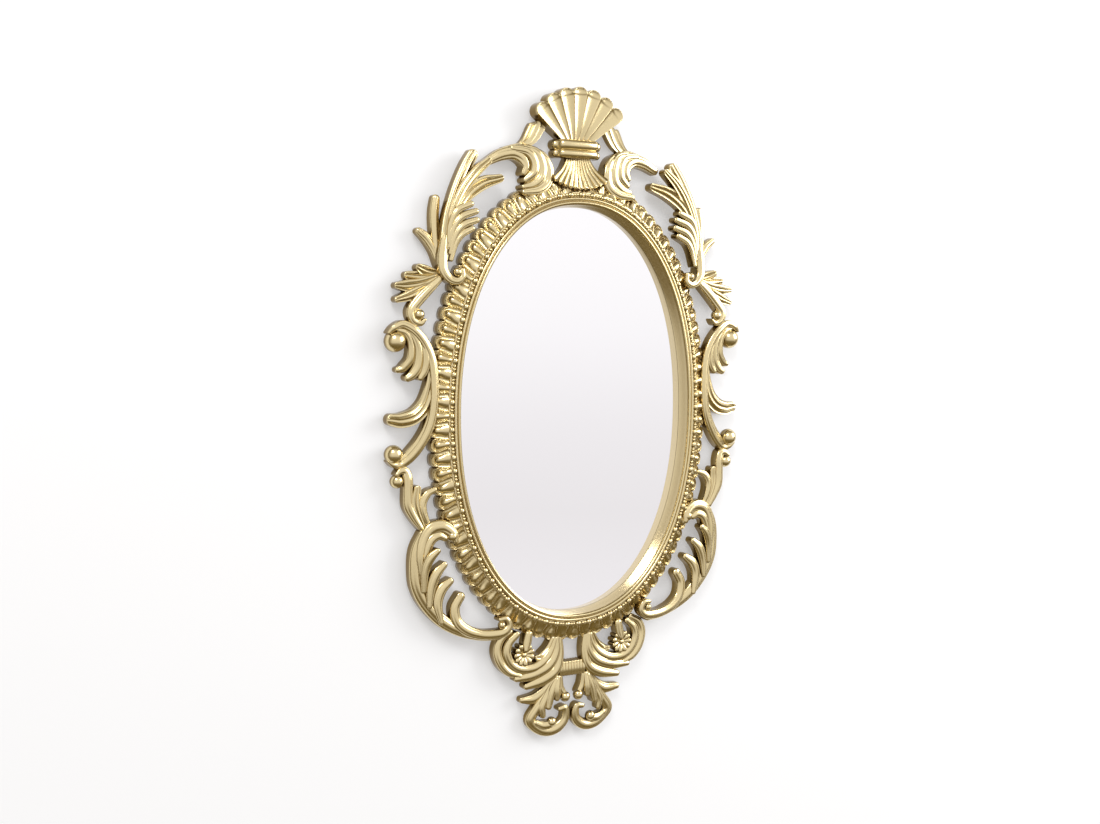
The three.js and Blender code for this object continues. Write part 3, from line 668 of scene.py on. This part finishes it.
def lobe(points, faces, kind, control, thickness, tapered, floor):
    path = smoothPath(control, carving["stationStep"])
    if tapered:
        lengths = np.concatenate([[0], np.cumsum(np.hypot(*np.diff(path[:, :2], axis=0).T))])
        taperFrom = carving["taperFrom"]
        late = np.clip((lengths / lengths[-1] - taperFrom) / (1 - taperFrom), 0, 1)
        path[:, 2] *= np.sqrt(1 - carving["taper"] * late ** 2)
    directions = np.gradient(path[:, :2], axis=0)
    directions /= np.linalg.norm(directions, axis=1)[:, None] + 1e-9
    stations = [(row[0], row[1], row[2], row[3], d, 0) for row, d in zip(path, directions)]
    tips = []
    for at, sign in ((0, -1), (-1, 1)):
        x, z, width, height, d, _ = stations[at]
        cap = []
        for turn in carving["capTurns"]:
            a = math.radians(turn)
            reach = sign * carving["capReach"] * width * math.sin(a)
            cap.append((x + d[0] * reach, z + d[1] * reach, width, height, d, math.sin(a)))
        tips.append(cap)
    stations = tips[0][::-1] + stations + tips[1]
    shares = np.sin(np.linspace(-1, 1, carving["sectionPoints"]) * math.pi / 2)
    start = len(points)
    size = len(shares) + 2
    for x, z, width, height, d, end in stations:
        reach = width * math.sqrt(1 - end * end)
        ring = []
        for u in shares:
            spotX = x - d[1] * reach * u
            spotZ = z + d[0] * reach * u
            ring.append((-spotX, height - width * sectionDrop(kind, u, end, width), spotZ))
        under = max(height - thickness, floor)
        ring.append((ring[-1][0], under, ring[-1][2]))
        ring.append((ring[0][0], under, ring[0][2]))
        points.extend(ring)
    last = len(stations) - 1
    for s in range(last):
        here, there = start + s * size, start + (s + 1) * size
        for i in range(size):
            j = (i + 1) % size
            faces.append((here + i, here + j, there + j, there + i))
    faces.append(tuple(start + i for i in range(size)))
    faces.append(tuple(start + last * size + i for i in reversed(range(size))))


def ballLobe(points, faces, spot, radius, top, floor):
    # a ball that is cut flat where it would pass the back plane
    x, z = spot
    start = len(points)
    around = carving["ballSteps"]
    middle = top - radius
    latitudes = np.linspace(-carving["ballLatitude"], carving["ballLatitude"], carving["ballRings"])
    rings = [(radius * math.cos(a), max(middle + radius * math.sin(a), floor))
             for a in np.radians(latitudes)]
    for r, height in rings:
        for k in range(around):
            a = 2 * math.pi * k / around
            points.append((-(x + r * math.cos(a)), height, z + r * math.sin(a)))
    points.append((-x, top, z))
    for s in range(len(rings) - 1):
        here, there = start + s * around, start + (s + 1) * around
        for i in range(around):
            j = (i + 1) % around
            faces.append((here + i, here + j, there + j, there + i))
    peak = len(points) - 1
    ring = peak - around
    for i in range(around):
        faces.append((ring + i, ring + (i + 1) % around, peak))
    faces.append(tuple(start + i for i in reversed(range(around))))


def carve(name, drawing, thickness, tapered):
    # joins the lobes into one carving, each with its underside a little higher than the last
    shells = []
    for order, (kind, control) in enumerate(drawing):
        points, faces = [], []
        floor = carving["floorStep"] * order
        if kind == "ball":
            x, z, radius, top = control
            ballLobe(points, faces, (x, z - drawingDrop), radius, top, floor)
        else:
            swell = carving["swell"] if tapered else 1
            rows = [[x, z - drawingDrop, w * swell, h] for x, z, w, h in control]
            lobe(points, faces, kind, rows, thickness, tapered, floor)
        shell = meshObject(name, points, faces)
        turnOutwards(shell)
        shells.append(shell)
    deselectAll()
    for shell in shells:
        shell.select_set(True)
    bpy.context.view_layer.objects.active = shells[0]
    if len(shells) > 1:
        bpy.ops.object.join()
    item = bpy.context.view_layer.objects.active
    item.name = name
    smoothBelow(item, carving["crease"])
    return item


def mirrorPiece(item, name):
    twin = item.copy()
    twin.data = item.data.copy()
    twin.name = name
    bpy.context.scene.collection.objects.link(twin)
    twin.data.transform(Matrix.Diagonal((-1, 1, 1, 1)))
    twin.data.flip_normals()
    return twin


drawingDrop = 3  # the drawings' own zero lies this far under the oval's centre


shell = {
    "apex": 301,
    "step": 15.4,
    "flutes": 7,
    "share": 0.137,
    "least": 0.4,
    "rise": [(14, 12), (32, 16), (52, 19), (66, 21), (68, 21.5)],
}


def shellDrawing():
    drawing = []
    middle = shell["flutes"] // 2
    for i in range(-middle, middle + 1):
        angle = math.radians(shell["step"] * i)
        row = []
        for r, height in shell["rise"]:
            x = r * math.sin(angle)
            z = shell["apex"] + r * math.cos(angle)
            row.append([x, z, shell["share"] * r + shell["least"], height])
        drawing.append(("spoon", row))
    return drawing


skirt = {
    "pleats": 11,
    "root": 13,
    "foot": 33,
    "top": 297,
    "low": 263,
    "curve": 8,
    "middleOut": 0.4,
    "middleDown": 0.55,
    "widths": (1.7, 2.5, 3.7),
    "heights": (16, 19.5, 24.5),
    "alternate": 0.8,
}


def skirtDrawing():
    # narrow pleats that spread from under the binding, every second one a little lower
    root, foot, top = skirt["root"], skirt["foot"], skirt["top"]
    out, down = skirt["middleOut"], skirt["middleDown"]
    widths, heights = skirt["widths"], skirt["heights"]
    drawing = []
    for i in range(skirt["pleats"]):
        share = 2 * i / (skirt["pleats"] - 1) - 1
        low = skirt["low"] + skirt["curve"] * share * share
        drawing.append(("pleat", [
            [root * share, top, widths[0], heights[0]],
            [(root * (1 - out) + foot * out) * share, top * (1 - down) + low * down, widths[1], heights[1]],
            [foot * share, low, widths[2], heights[2] - skirt["alternate"] * (i % 2)],
        ]))
    return drawing


binding = {
    "line": [(-27.5, 15), (-24, 20), (-16, 22.3), (0, 22.8), (16, 22.3), (24, 20), (27.5, 15)],
    "bars": [{"z": 311, "half": 6.3, "lift": 0.4}, {"z": 300.8, "half": 5.0, "lift": 0}],
}


def bindingDrawing():
    drawing = []
    for bar in binding["bars"]:
        row = [[x, bar["z"], bar["half"], height + bar["lift"]] for x, height in binding["line"]]
        drawing.append(("roll", row))
    return drawing


crestScroll = [
    ("ridge", [[112, 288, 4, 11], [97, 295.5, 5.5, 13], [82, 298, 6, 14], [71, 293, 6, 16],
               [67, 284, 5, 17], [71, 276, 3.5, 16]]),
    ("roll", [[92, 300, 4, 12], [72, 303, 5.5, 15], [57, 297, 6.5, 17], [49, 284, 7, 18],
              [52, 270, 7, 18], [64, 262, 5.5, 18]]),
    ("ridge", [[84, 303, 3, 14], [66, 300, 4.2, 18], [58, 289, 4.2, 20], [59, 277, 4.4, 20],
               [69, 268, 3.6, 17]]),
    ("ridge", [[74, 305, 3, 14], [56, 300, 4.2, 19], [48.5, 286, 4.4, 21], [50, 272, 4.6, 21],
               [60, 263, 4.2, 20], [72, 260, 3, 18]]),
    ("ridge", [[64, 305, 3, 14], [47, 296, 4.2, 18], [39.5, 281, 4.6, 21], [42, 266, 5, 21],
               [54, 257, 4.6, 22], [73, 254, 3.6, 22]]),
    ("spoon", [[76, 304, 2, 7], [65, 315, 3, 8], [57, 331, 3.6, 8.5]]),
    ("spoon", [[73, 304, 2, 7.5], [60, 315, 3, 9], [50, 333, 3.8, 9.8]]),
    ("spoon", [[70, 304, 2, 7], [55, 314, 3, 8.5], [43.5, 330, 3.8, 9.2]]),
]

upperSpray = [
    ("ridge", [[170, 212, 2, 20], [172.5, 196, 4, 21.5], [174.5, 180, 4.8, 22], [174, 165, 4.5, 23],
               [167, 155, 4, 24], [158, 152.5, 3.5, 25], [152, 157, 3, 25], [152, 165, 2.5, 25]]),
    ("ball", [157.5, 162.5, 5.5, 26]),
    ("flute", [[174, 172, 4, 21], [170, 200, 5.5, 22], [166, 225, 5.5, 22], [157, 252, 5.5, 21],
               [145, 277, 6, 19], [135, 293, 6.5, 17]]),
    ("flute", [[169, 190, 3, 22], [163, 225, 4, 23], [151, 252, 5, 24], [136, 272, 5, 25],
               [120, 286, 4.5, 25]]),
    ("flute", [[167, 195, 3, 22], [159, 225, 4, 23], [146, 246, 5.5, 24], [126, 261, 6.5, 23],
               [103, 268, 5, 21]]),
    ("ridge", [[168, 195, 2, 22], [166, 214, 2.8, 23], [158, 230, 3.2, 24.5], [141, 238, 3.6, 24]]),
    ("ridge", [[167, 190, 2, 22], [163, 209, 2.8, 23.5], [153, 223, 3.2, 25], [135, 230, 3.6, 24.5]]),
    ("ridge", [[166, 183, 2, 22], [161, 201, 2.8, 23.5], [151, 214, 3.2, 25], [134, 220.5, 3.6, 24]]),
    ("ridge", [[165, 176, 2, 22], [160, 193, 2.8, 23], [152, 204, 3, 24], [139, 211, 3.4, 23]]),
    ("ridge", [[176, 175, 3, 15], [179, 200, 4, 13], [180, 225, 4.5, 12], [178, 243, 5, 11]]),
    ("ridge", [[175, 168, 3, 15], [180, 185, 4, 13], [189, 199, 4.5, 12], [199, 207, 4, 11]]),
]

sideFan = [
    ("flute", [[176, 160, 3, 15], [190, 163, 5, 15], [200, 167, 4.5, 15]]),
    ("flute", [[176, 159, 3, 15], [195, 157, 5, 14], [212, 158, 5, 11]]),
    ("flute", [[175, 158, 3, 16], [197, 150, 4.5, 16], [214, 147, 5.5, 15], [225, 147, 4, 13]]),
    ("flute", [[175, 157, 3, 17], [193, 146, 4, 17], [210, 137, 5, 16], [225, 132, 4, 13]]),
    ("ridge", [[176, 155, 3, 18], [190, 143, 4.5, 19], [203, 130, 5, 19], [211, 119, 4.5, 19],
               [208, 109, 4, 19], [200, 106, 3, 19], [195, 110, 1.6, 19]]),
    ("ball", [202, 115.5, 6.6, 22]),
]

sideScroll = [
    ("ball", [227.2, 86.5, 12.4, 20.5]),
    ("ridge", [[236.5, 96, 1.4, 16], [230.5, 101.5, 2.8, 18], [220, 105, 3.6, 18], [207, 98, 4, 20.5],
               [195, 84, 4.2, 21], [187, 66, 4.2, 21], [184, 45, 4, 21], [184, 20, 4, 21],
               [188, -5, 4.2, 20], [197, -25, 4.4, 18], [209, -41, 4.6, 15], [221, -50, 4.2, 12],
               [230, -49, 3, 12], [236, -45, 1.4, 12]]),
    ("ridge", [[226, 99, 1.6, 16], [216, 95, 3.2, 17], [210, 84, 3.8, 17], [210, 68, 4.2, 16],
               [218, 57, 4.4, 13], [224, 55, 3.6, 11]]),
    ("ridge", [[216, 101, 2, 17], [206, 90, 4, 19], [201, 76, 4.6, 19], [202, 60, 5, 18],
               [208, 50, 5, 17], [214, 46, 4.4, 16]]),
    ("ridge", [[206, 98, 2, 18], [196, 82, 3.6, 20], [193, 66, 4, 20], [195, 54, 4, 19],
               [200, 46, 3.4, 18]]),
    ("flute", [[187, 62, 2, 18], [188, 38, 5, 19], [194, 17, 7, 19], [206, 4, 7.6, 18],
               [221, -0.5, 7.6, 16], [232, 0.5, 7, 14]]),
    ("ridge", [[186, 15, 2, 19], [192, -8, 3.5, 18], [201, -25, 4, 16], [212, -38, 4, 13],
               [220, -44, 3, 11]]),
    ("ball", [229, -38, 10.6, 18]),
]

sideLink = [
    ("ball", [225, -68, 7.9, 15]),
    ("ridge", [[227, -60, 1.6, 14], [222, -56.5, 3, 14], [216, -57, 4, 14], [213, -66, 4.5, 15],
               [213, -80, 4.5, 15], [212, -95, 5, 15], [206, -108, 4.5, 15], [198, -121, 3.5, 15]]),
    ("flute", [[202.5, -77, 3.5, 16], [203.5, -88, 4.5, 16], [201, -101, 4, 16], [194, -119, 2.5, 15]]),
    ("ridge", [[181, -79, 2.5, 15], [190, -83, 3.5, 16], [196, -93, 4, 16], [195, -104, 3.5, 16],
               [189, -118, 2.5, 15]]),
]

lowerScroll = [
    ("ridge", [[196, -128, 4, 16], [203, -145, 5, 15], [204, -165, 6, 15], [201, -187, 6.5, 15],
               [190, -208, 6.5, 15], [171, -229, 6, 15], [148, -243, 5.5, 15], [124, -251, 5, 17],
               [103, -253, 4.5, 21]]),
    ("ridge", [[158, -138, 3, 21], [161, -129, 5, 21.5], [172, -121, 6, 20], [186, -123, 6.5, 19],
               [195, -135, 6, 18], [199, -152, 5, 18], [198, -172, 4, 17]]),
    ("ball", [161.5, -132.5, 6.4, 22.5]),
    ("ridge", [[170, -134, 3, 19], [178, -131, 4, 19], [187, -136, 4.5, 19], [193, -150, 4.5, 18],
               [197, -170, 4, 16], [197, -190, 3, 15]]),
    ("ridge", [[196, -192, 2.5, 18], [195, -170, 4, 20], [190, -156, 4.5, 22], [181, -147, 3.5, 23]]),
    ("ridge", [[189, -210, 2.5, 18], [187, -190, 4.5, 19], [181, -174, 5, 20], [171, -164, 4, 19]]),
    ("ridge", [[174, -230, 2.5, 17], [178, -208, 5, 17], [173, -193, 5.5, 17], [162, -184, 4.5, 16]]),
    ("ridge", [[149, -203, 4.5, 16], [156, -216, 5, 16], [153, -232, 5, 17], [141, -243, 5, 19],
               [124, -249, 4.5, 21], [108, -250, 4.5, 24], [97, -248, 4, 25], [91, -241, 3.5, 25],
               [95, -233, 3, 25], [103, -233, 2.5, 24]]),
    ("ball", [101, -239.5, 4.5, 26]),
]

pendantScroll = [
    ("ridge", [[84, -252, 3.5, 13], [95, -259, 4, 13], [100, -272, 4.5, 13], [96, -287, 4.5, 14],
               [86, -299, 4, 15], [72, -305, 3, 16]]),
    ("ridge", [[76, -255, 3, 16], [86, -264, 4, 16], [89, -276, 4.5, 16], [83, -289, 4.5, 16],
               [70, -297, 4.5, 17], [52, -297, 4.5, 17], [37, -289, 4.5, 16], [28, -277, 4, 15],
               [24, -266, 3, 15]]),
    ("flute", [[27, -266, 3, 15], [33, -278, 4.5, 15], [42, -286, 5, 15], [49, -286, 3.5, 15]]),
    ("ridge", [[22, -266, 3, 15], [23, -283, 4.5, 16], [34, -298, 5, 17], [55, -306, 5, 17],
               [77, -308, 3.5, 16]]),
    ("ridge", [[18, -266, 3, 14], [17.5, -287, 4.5, 15], [23, -304, 5, 16], [40, -314, 5.5, 16],
               [63, -319, 4, 15]]),
    ("ridge", [[62, -256, 4, 19], [64, -266, 4.5, 19], [66, -274, 3, 19]]),
]


rosette = {
    "x": 67.5,
    "z": -280,
    "petals": 11,
    "height": 17,
    "eyeRadius": 3.4,
    "eyeRise": 1,
    "petal": [(3, 1.4, -2), (7.5, 2.2, 0), (11, 2.9, 0.6)],
}


def rosetteDrawing():
    # short petals round a small raised eye
    height = rosette["height"]
    eye = [rosette["x"], rosette["z"], rosette["eyeRadius"], height + rosette["eyeRise"]]
    drawing = [("ball", eye)]
    for k in range(rosette["petals"]):
        a = 2 * math.pi * k / rosette["petals"]
        row = []
        for r, width, rise in rosette["petal"]:
            x = rosette["x"] + r * math.cos(a)
            z = rosette["z"] + r * math.sin(a)
            row.append([x, z, width, height + rise])
        drawing.append(("ridge", row))
    return drawing


pendantTail = [
    ("ridge", [[23, -312, 2.5, 13], [33, -325, 4, 11], [48, -336, 5.5, 10], [66, -336, 4, 10]]),
    ("ridge", [[22, -313, 2.5, 13], [34, -333, 4, 12], [47, -350, 5, 11], [53.5, -361, 5.5, 10],
               [48.5, -369, 5.5, 9], [37.5, -376.5, 5.4, 9.5], [26, -378.4, 5.4, 10],
               [15.5, -375, 5.4, 10.5], [7.5, -366, 5, 11], [8, -353, 4, 12], [16, -353, 3, 12]]),
    ("ridge", [[47, -366, 3, 10], [38, -370, 4, 12], [29, -370, 4.4, 13]]),
    ("ball", [27, -367, 6.2, 15]),
    ("ridge", [[24, -316, 2.5, 13], [33, -333, 4, 13], [40, -347, 4.5, 13], [38.5, -358, 3.5, 12]]),
    ("ridge", [[22, -316, 2.5, 14], [28, -330, 4, 15], [32, -348, 4, 14]]),
    ("ridge", [[19, -314, 2.5, 14], [21, -327, 4, 16], [21, -339, 3.5, 15]]),
    ("ridge", [[16, -314, 2.5, 13], [15, -327, 3.5, 13], [10, -335, 3.5, 13]]),
    ("ball", [9, -338.5, 6.3, 16.5]),
]


clasp = {
    "z": -304.5,
    "half": 7.2,
    "ribs": 9,
    "pitch": 3.9,
    "height": 14.4,
    "endDrop": 1.2,
    "endWidth": 2.0,
    "middleWidth": 2.2,
}


def pendantBindingDrawing():
    z, half, height = clasp["z"], clasp["half"], clasp["height"]
    drawing = []
    for k in range(clasp["ribs"]):
        x = (k - (clasp["ribs"] - 1) / 2) * clasp["pitch"]
        drawing.append(("ridge", [
            [x, z - half, clasp["endWidth"], height - clasp["endDrop"]],
            [x, z, clasp["middleWidth"], height],
            [x, z + half, clasp["endWidth"], height - clasp["endDrop"]],
        ]))
    return drawing


centrePieces = {
    "crestShell": (shellDrawing(), "crest_shell"),
    "crestSkirt": (skirtDrawing(), "crest_skirt"),
    "crestBinding": (bindingDrawing(), "crest_binding"),
    "pendantBinding": (pendantBindingDrawing(), "pendant_binding"),
}
for name, (drawing, node) in centrePieces.items():
    thickness = carving["shellThickness"] if name == "crestShell" else carving["thickness"]
    finishPiece(carve(name, drawing, thickness, False), goldPaint, [node])
print("centre carvings done")

pairedPieces = {
    "crestScroll": (crestScroll, "crest_scroll"),
    "upperSpray": (upperSpray, "upper_spray"),
    "sideFan": (sideFan, "side_fan"),
    "sideScroll": (sideScroll, "side_scroll"),
    "sideLink": (sideLink, "side_link"),
    "lowerScroll": (lowerScroll, "lower_scroll"),
    "pendantScroll": (pendantScroll + rosetteDrawing(), "pendant_scroll"),
    "pendantTail": (pendantTail, "pendant_tail"),
}
for name, (drawing, node) in pairedPieces.items():
    thickness = carving["scrollThickness"] if name == "crestScroll" else carving["thickness"]
    left = carve(name + "Left", drawing, thickness, True)
    right = mirrorPiece(left, name + "Right")
    finishPiece(left, goldPaint, [node + "_left"])
    finishPiece(right, goldPaint, [node + "_right"])
    print(name, "carved,", len(left.data.polygons), "faces")

# Pieces that the CAD already shapes

nodeFinish = {
    "mirror_glass": (mirrorSilver, "mirror"),
    "backing_board": (boardBrown, "board"),
    "turn_button": (zincSteel, "steel"),
    "button_screw": (zincSteel, "steel"),
    "hanger": (zincSteel, "steel"),
    "bumper_pad": (padBlack, "pad"),
}
for name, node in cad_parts.items():
    for prefix, (material, slot) in nodeFinish.items():
        if name.startswith(prefix):
            node.data.materials.clear()
            node.data.materials.append(material)
print("hardware finished")

# Stage, light and camera

stage = {"wallY": 0.0055, "wallSize": 8, "wallColor": (0.95, 0.96, 0.98, 1), "lift": 0.34}


def buildWall():
    deselectAll()
    bpy.ops.mesh.primitive_plane_add(
        size=stage["wallSize"], location=(0, stage["wallY"], 0), rotation=(math.pi / 2, 0, 0)
    )
    wall = bpy.context.object
    wall.name = "wall"
    material = bpy.data.materials.new("paleWall")
    material.use_nodes = True
    nodes, links = material.node_tree.nodes, material.node_tree.links
    nodes.clear()
    end = nodes.new("ShaderNodeOutputMaterial")
    paint = nodes.new("ShaderNodeBsdfDiffuse")
    paint.inputs["Color"].default_value = stage["wallColor"]
    glow = nodes.new("ShaderNodeEmission")
    glow.inputs["Strength"].default_value = 1.0
    clear = nodes.new("ShaderNodeBsdfTransparent")
    mix = nodes.new("ShaderNodeMixShader")
    path = nodes.new("ShaderNodeLightPath")
    seen = path.outputs["Is Camera Ray"]
    for name in ("Is Glossy Ray", "Is Transmission Ray"):
        larger = nodes.new("ShaderNodeMath")
        larger.operation = "MAXIMUM"
        links.new(seen, larger.inputs[0])
        links.new(path.outputs[name], larger.inputs[1])
        seen = larger.outputs[0]
    lift = nodes.new("ShaderNodeMath")
    lift.operation = "MULTIPLY"
    lift.inputs[1].default_value = stage["lift"]
    behind = nodes.new("ShaderNodeNewGeometry")
    side = nodes.new("ShaderNodeMixShader")
    links.new(seen, lift.inputs[0])
    links.new(lift.outputs[0], mix.inputs["Fac"])
    links.new(paint.outputs[0], mix.inputs[1])
    links.new(glow.outputs[0], mix.inputs[2])
    links.new(behind.outputs["Backfacing"], side.inputs["Fac"])
    links.new(mix.outputs[0], side.inputs[1])
    links.new(clear.outputs[0], side.inputs[2])
    links.new(side.outputs[0], end.inputs["Surface"])
    wall.data.materials.append(material)
    return wall


buildWall()

room = {
    "bright": (1.0, 0.985, 1.0, 1),
    "dim": (0.17, 0.125, 0.04, 1),
    "heights": [
        (0.0, 0.0), (0.25, 0.08), (0.35, 0.7), (0.39, 0.88),
        (0.425, 0.83), (0.455, 0.88), (0.49, 0.96), (0.53, 1.0),
    ],
    "grazing": 0.1,
    "facing": 0.78,
}


def buildWorld():
    # a pale room in front over a dark floor, dim towards the sides
    world = bpy.data.worlds.new("room")
    bpy.context.scene.world = world
    world.use_nodes = True
    nodes, links = world.node_tree.nodes, world.node_tree.links
    nodes.clear()
    end = nodes.new("ShaderNodeOutputWorld")
    place = nodes.new("ShaderNodeTexCoord")
    split = nodes.new("ShaderNodeSeparateXYZ")
    rise = nodes.new("ShaderNodeMapRange")
    rise.inputs["From Min"].default_value = -1
    ramp = nodes.new("ShaderNodeValToRGB")
    stops = ramp.color_ramp.elements
    while len(stops) > 1:
        stops.remove(stops[-1])
    for i, (position, tone) in enumerate(room["heights"]):
        stop = stops[0] if i == 0 else stops.new(position)
        stop.position = position
        stop.color = (tone, tone, tone, 1)
    front = nodes.new("ShaderNodeMapRange")
    front.interpolation_type = "SMOOTHSTEP"
    front.inputs["From Min"].default_value = -room["grazing"]
    front.inputs["From Max"].default_value = -room["facing"]
    share = nodes.new("ShaderNodeMath")
    share.operation = "MULTIPLY"
    mix = nodes.new("ShaderNodeMix")
    mix.data_type = "RGBA"
    mix.inputs["A"].default_value = room["dim"]
    mix.inputs["B"].default_value = room["bright"]
    light = nodes.new("ShaderNodeBackground")
    links.new(place.outputs["Generated"], split.inputs[0])
    links.new(split.outputs["Z"], rise.inputs["Value"])
    links.new(rise.outputs["Result"], ramp.inputs["Fac"])
    links.new(split.outputs["Y"], front.inputs["Value"])
    links.new(ramp.outputs["Color"], share.inputs[0])
    links.new(front.outputs["Result"], share.inputs[1])
    links.new(share.outputs[0], mix.inputs["Factor"])
    links.new(mix.outputs["Result"], light.inputs["Color"])
    links.new(light.outputs[0], end.inputs["Surface"])


buildWorld()

lamps = {
    "keyLamp": {"at": (2.0, -1.2, 0.8), "size": 1.5, "power": 40},
    "fillLamp": {"at": (-1.1, -1.6, 1.7), "size": 0.8, "power": 22},
}


def addLamp(name, values):
    deselectAll()
    bpy.ops.object.light_add(type="AREA", location=values["at"])
    lamp = bpy.context.object
    lamp.name = name
    lamp.data.size = values["size"]
    lamp.data.energy = values["power"]
    aim = Vector((0, 0, 0)) - Vector(values["at"])
    lamp.rotation_euler = aim.to_track_quat("-Z", "Y").to_euler()


for name, values in lamps.items():
    addLamp(name, values)

view = {
    "yaw": 30.0,
    "pitch": 4.470,
    "roll": 0.3915,
    "distance": 1.63199,
    "across": -0.018208,
    "shift": (0, 0.009, -0.003),
    "focalPixels": 1372.04,
    "widthPixels": 1100,
    "sensorWidth": 36,
}


def addCamera():
    yaw, pitch, roll = (math.radians(view[key]) for key in ("yaw", "pitch", "roll"))
    back = Vector((-math.sin(yaw) * math.cos(pitch), -math.cos(yaw) * math.cos(pitch), math.sin(pitch)))
    right = Vector((math.cos(yaw), -math.sin(yaw), 0))
    up = right.cross(-back)
    turnedRight = math.cos(roll) * right + math.sin(roll) * up
    turnedUp = -math.sin(roll) * right + math.cos(roll) * up
    data = bpy.data.cameras.new("camera")
    data.sensor_width = view["sensorWidth"]
    data.lens = view["sensorWidth"] * view["focalPixels"] / view["widthPixels"]
    camera = bpy.data.objects.new("camera", data)
    bpy.context.scene.collection.objects.link(camera)
    place = Matrix((turnedRight, turnedUp, back)).transposed().to_4x4()
    place.translation = back * view["distance"] + right * view["across"] + Vector(view["shift"])
    camera.matrix_world = place
    bpy.context.scene.camera = camera


addCamera()
bpy.context.scene.view_settings.view_transform = "Standard"
print("stage set")
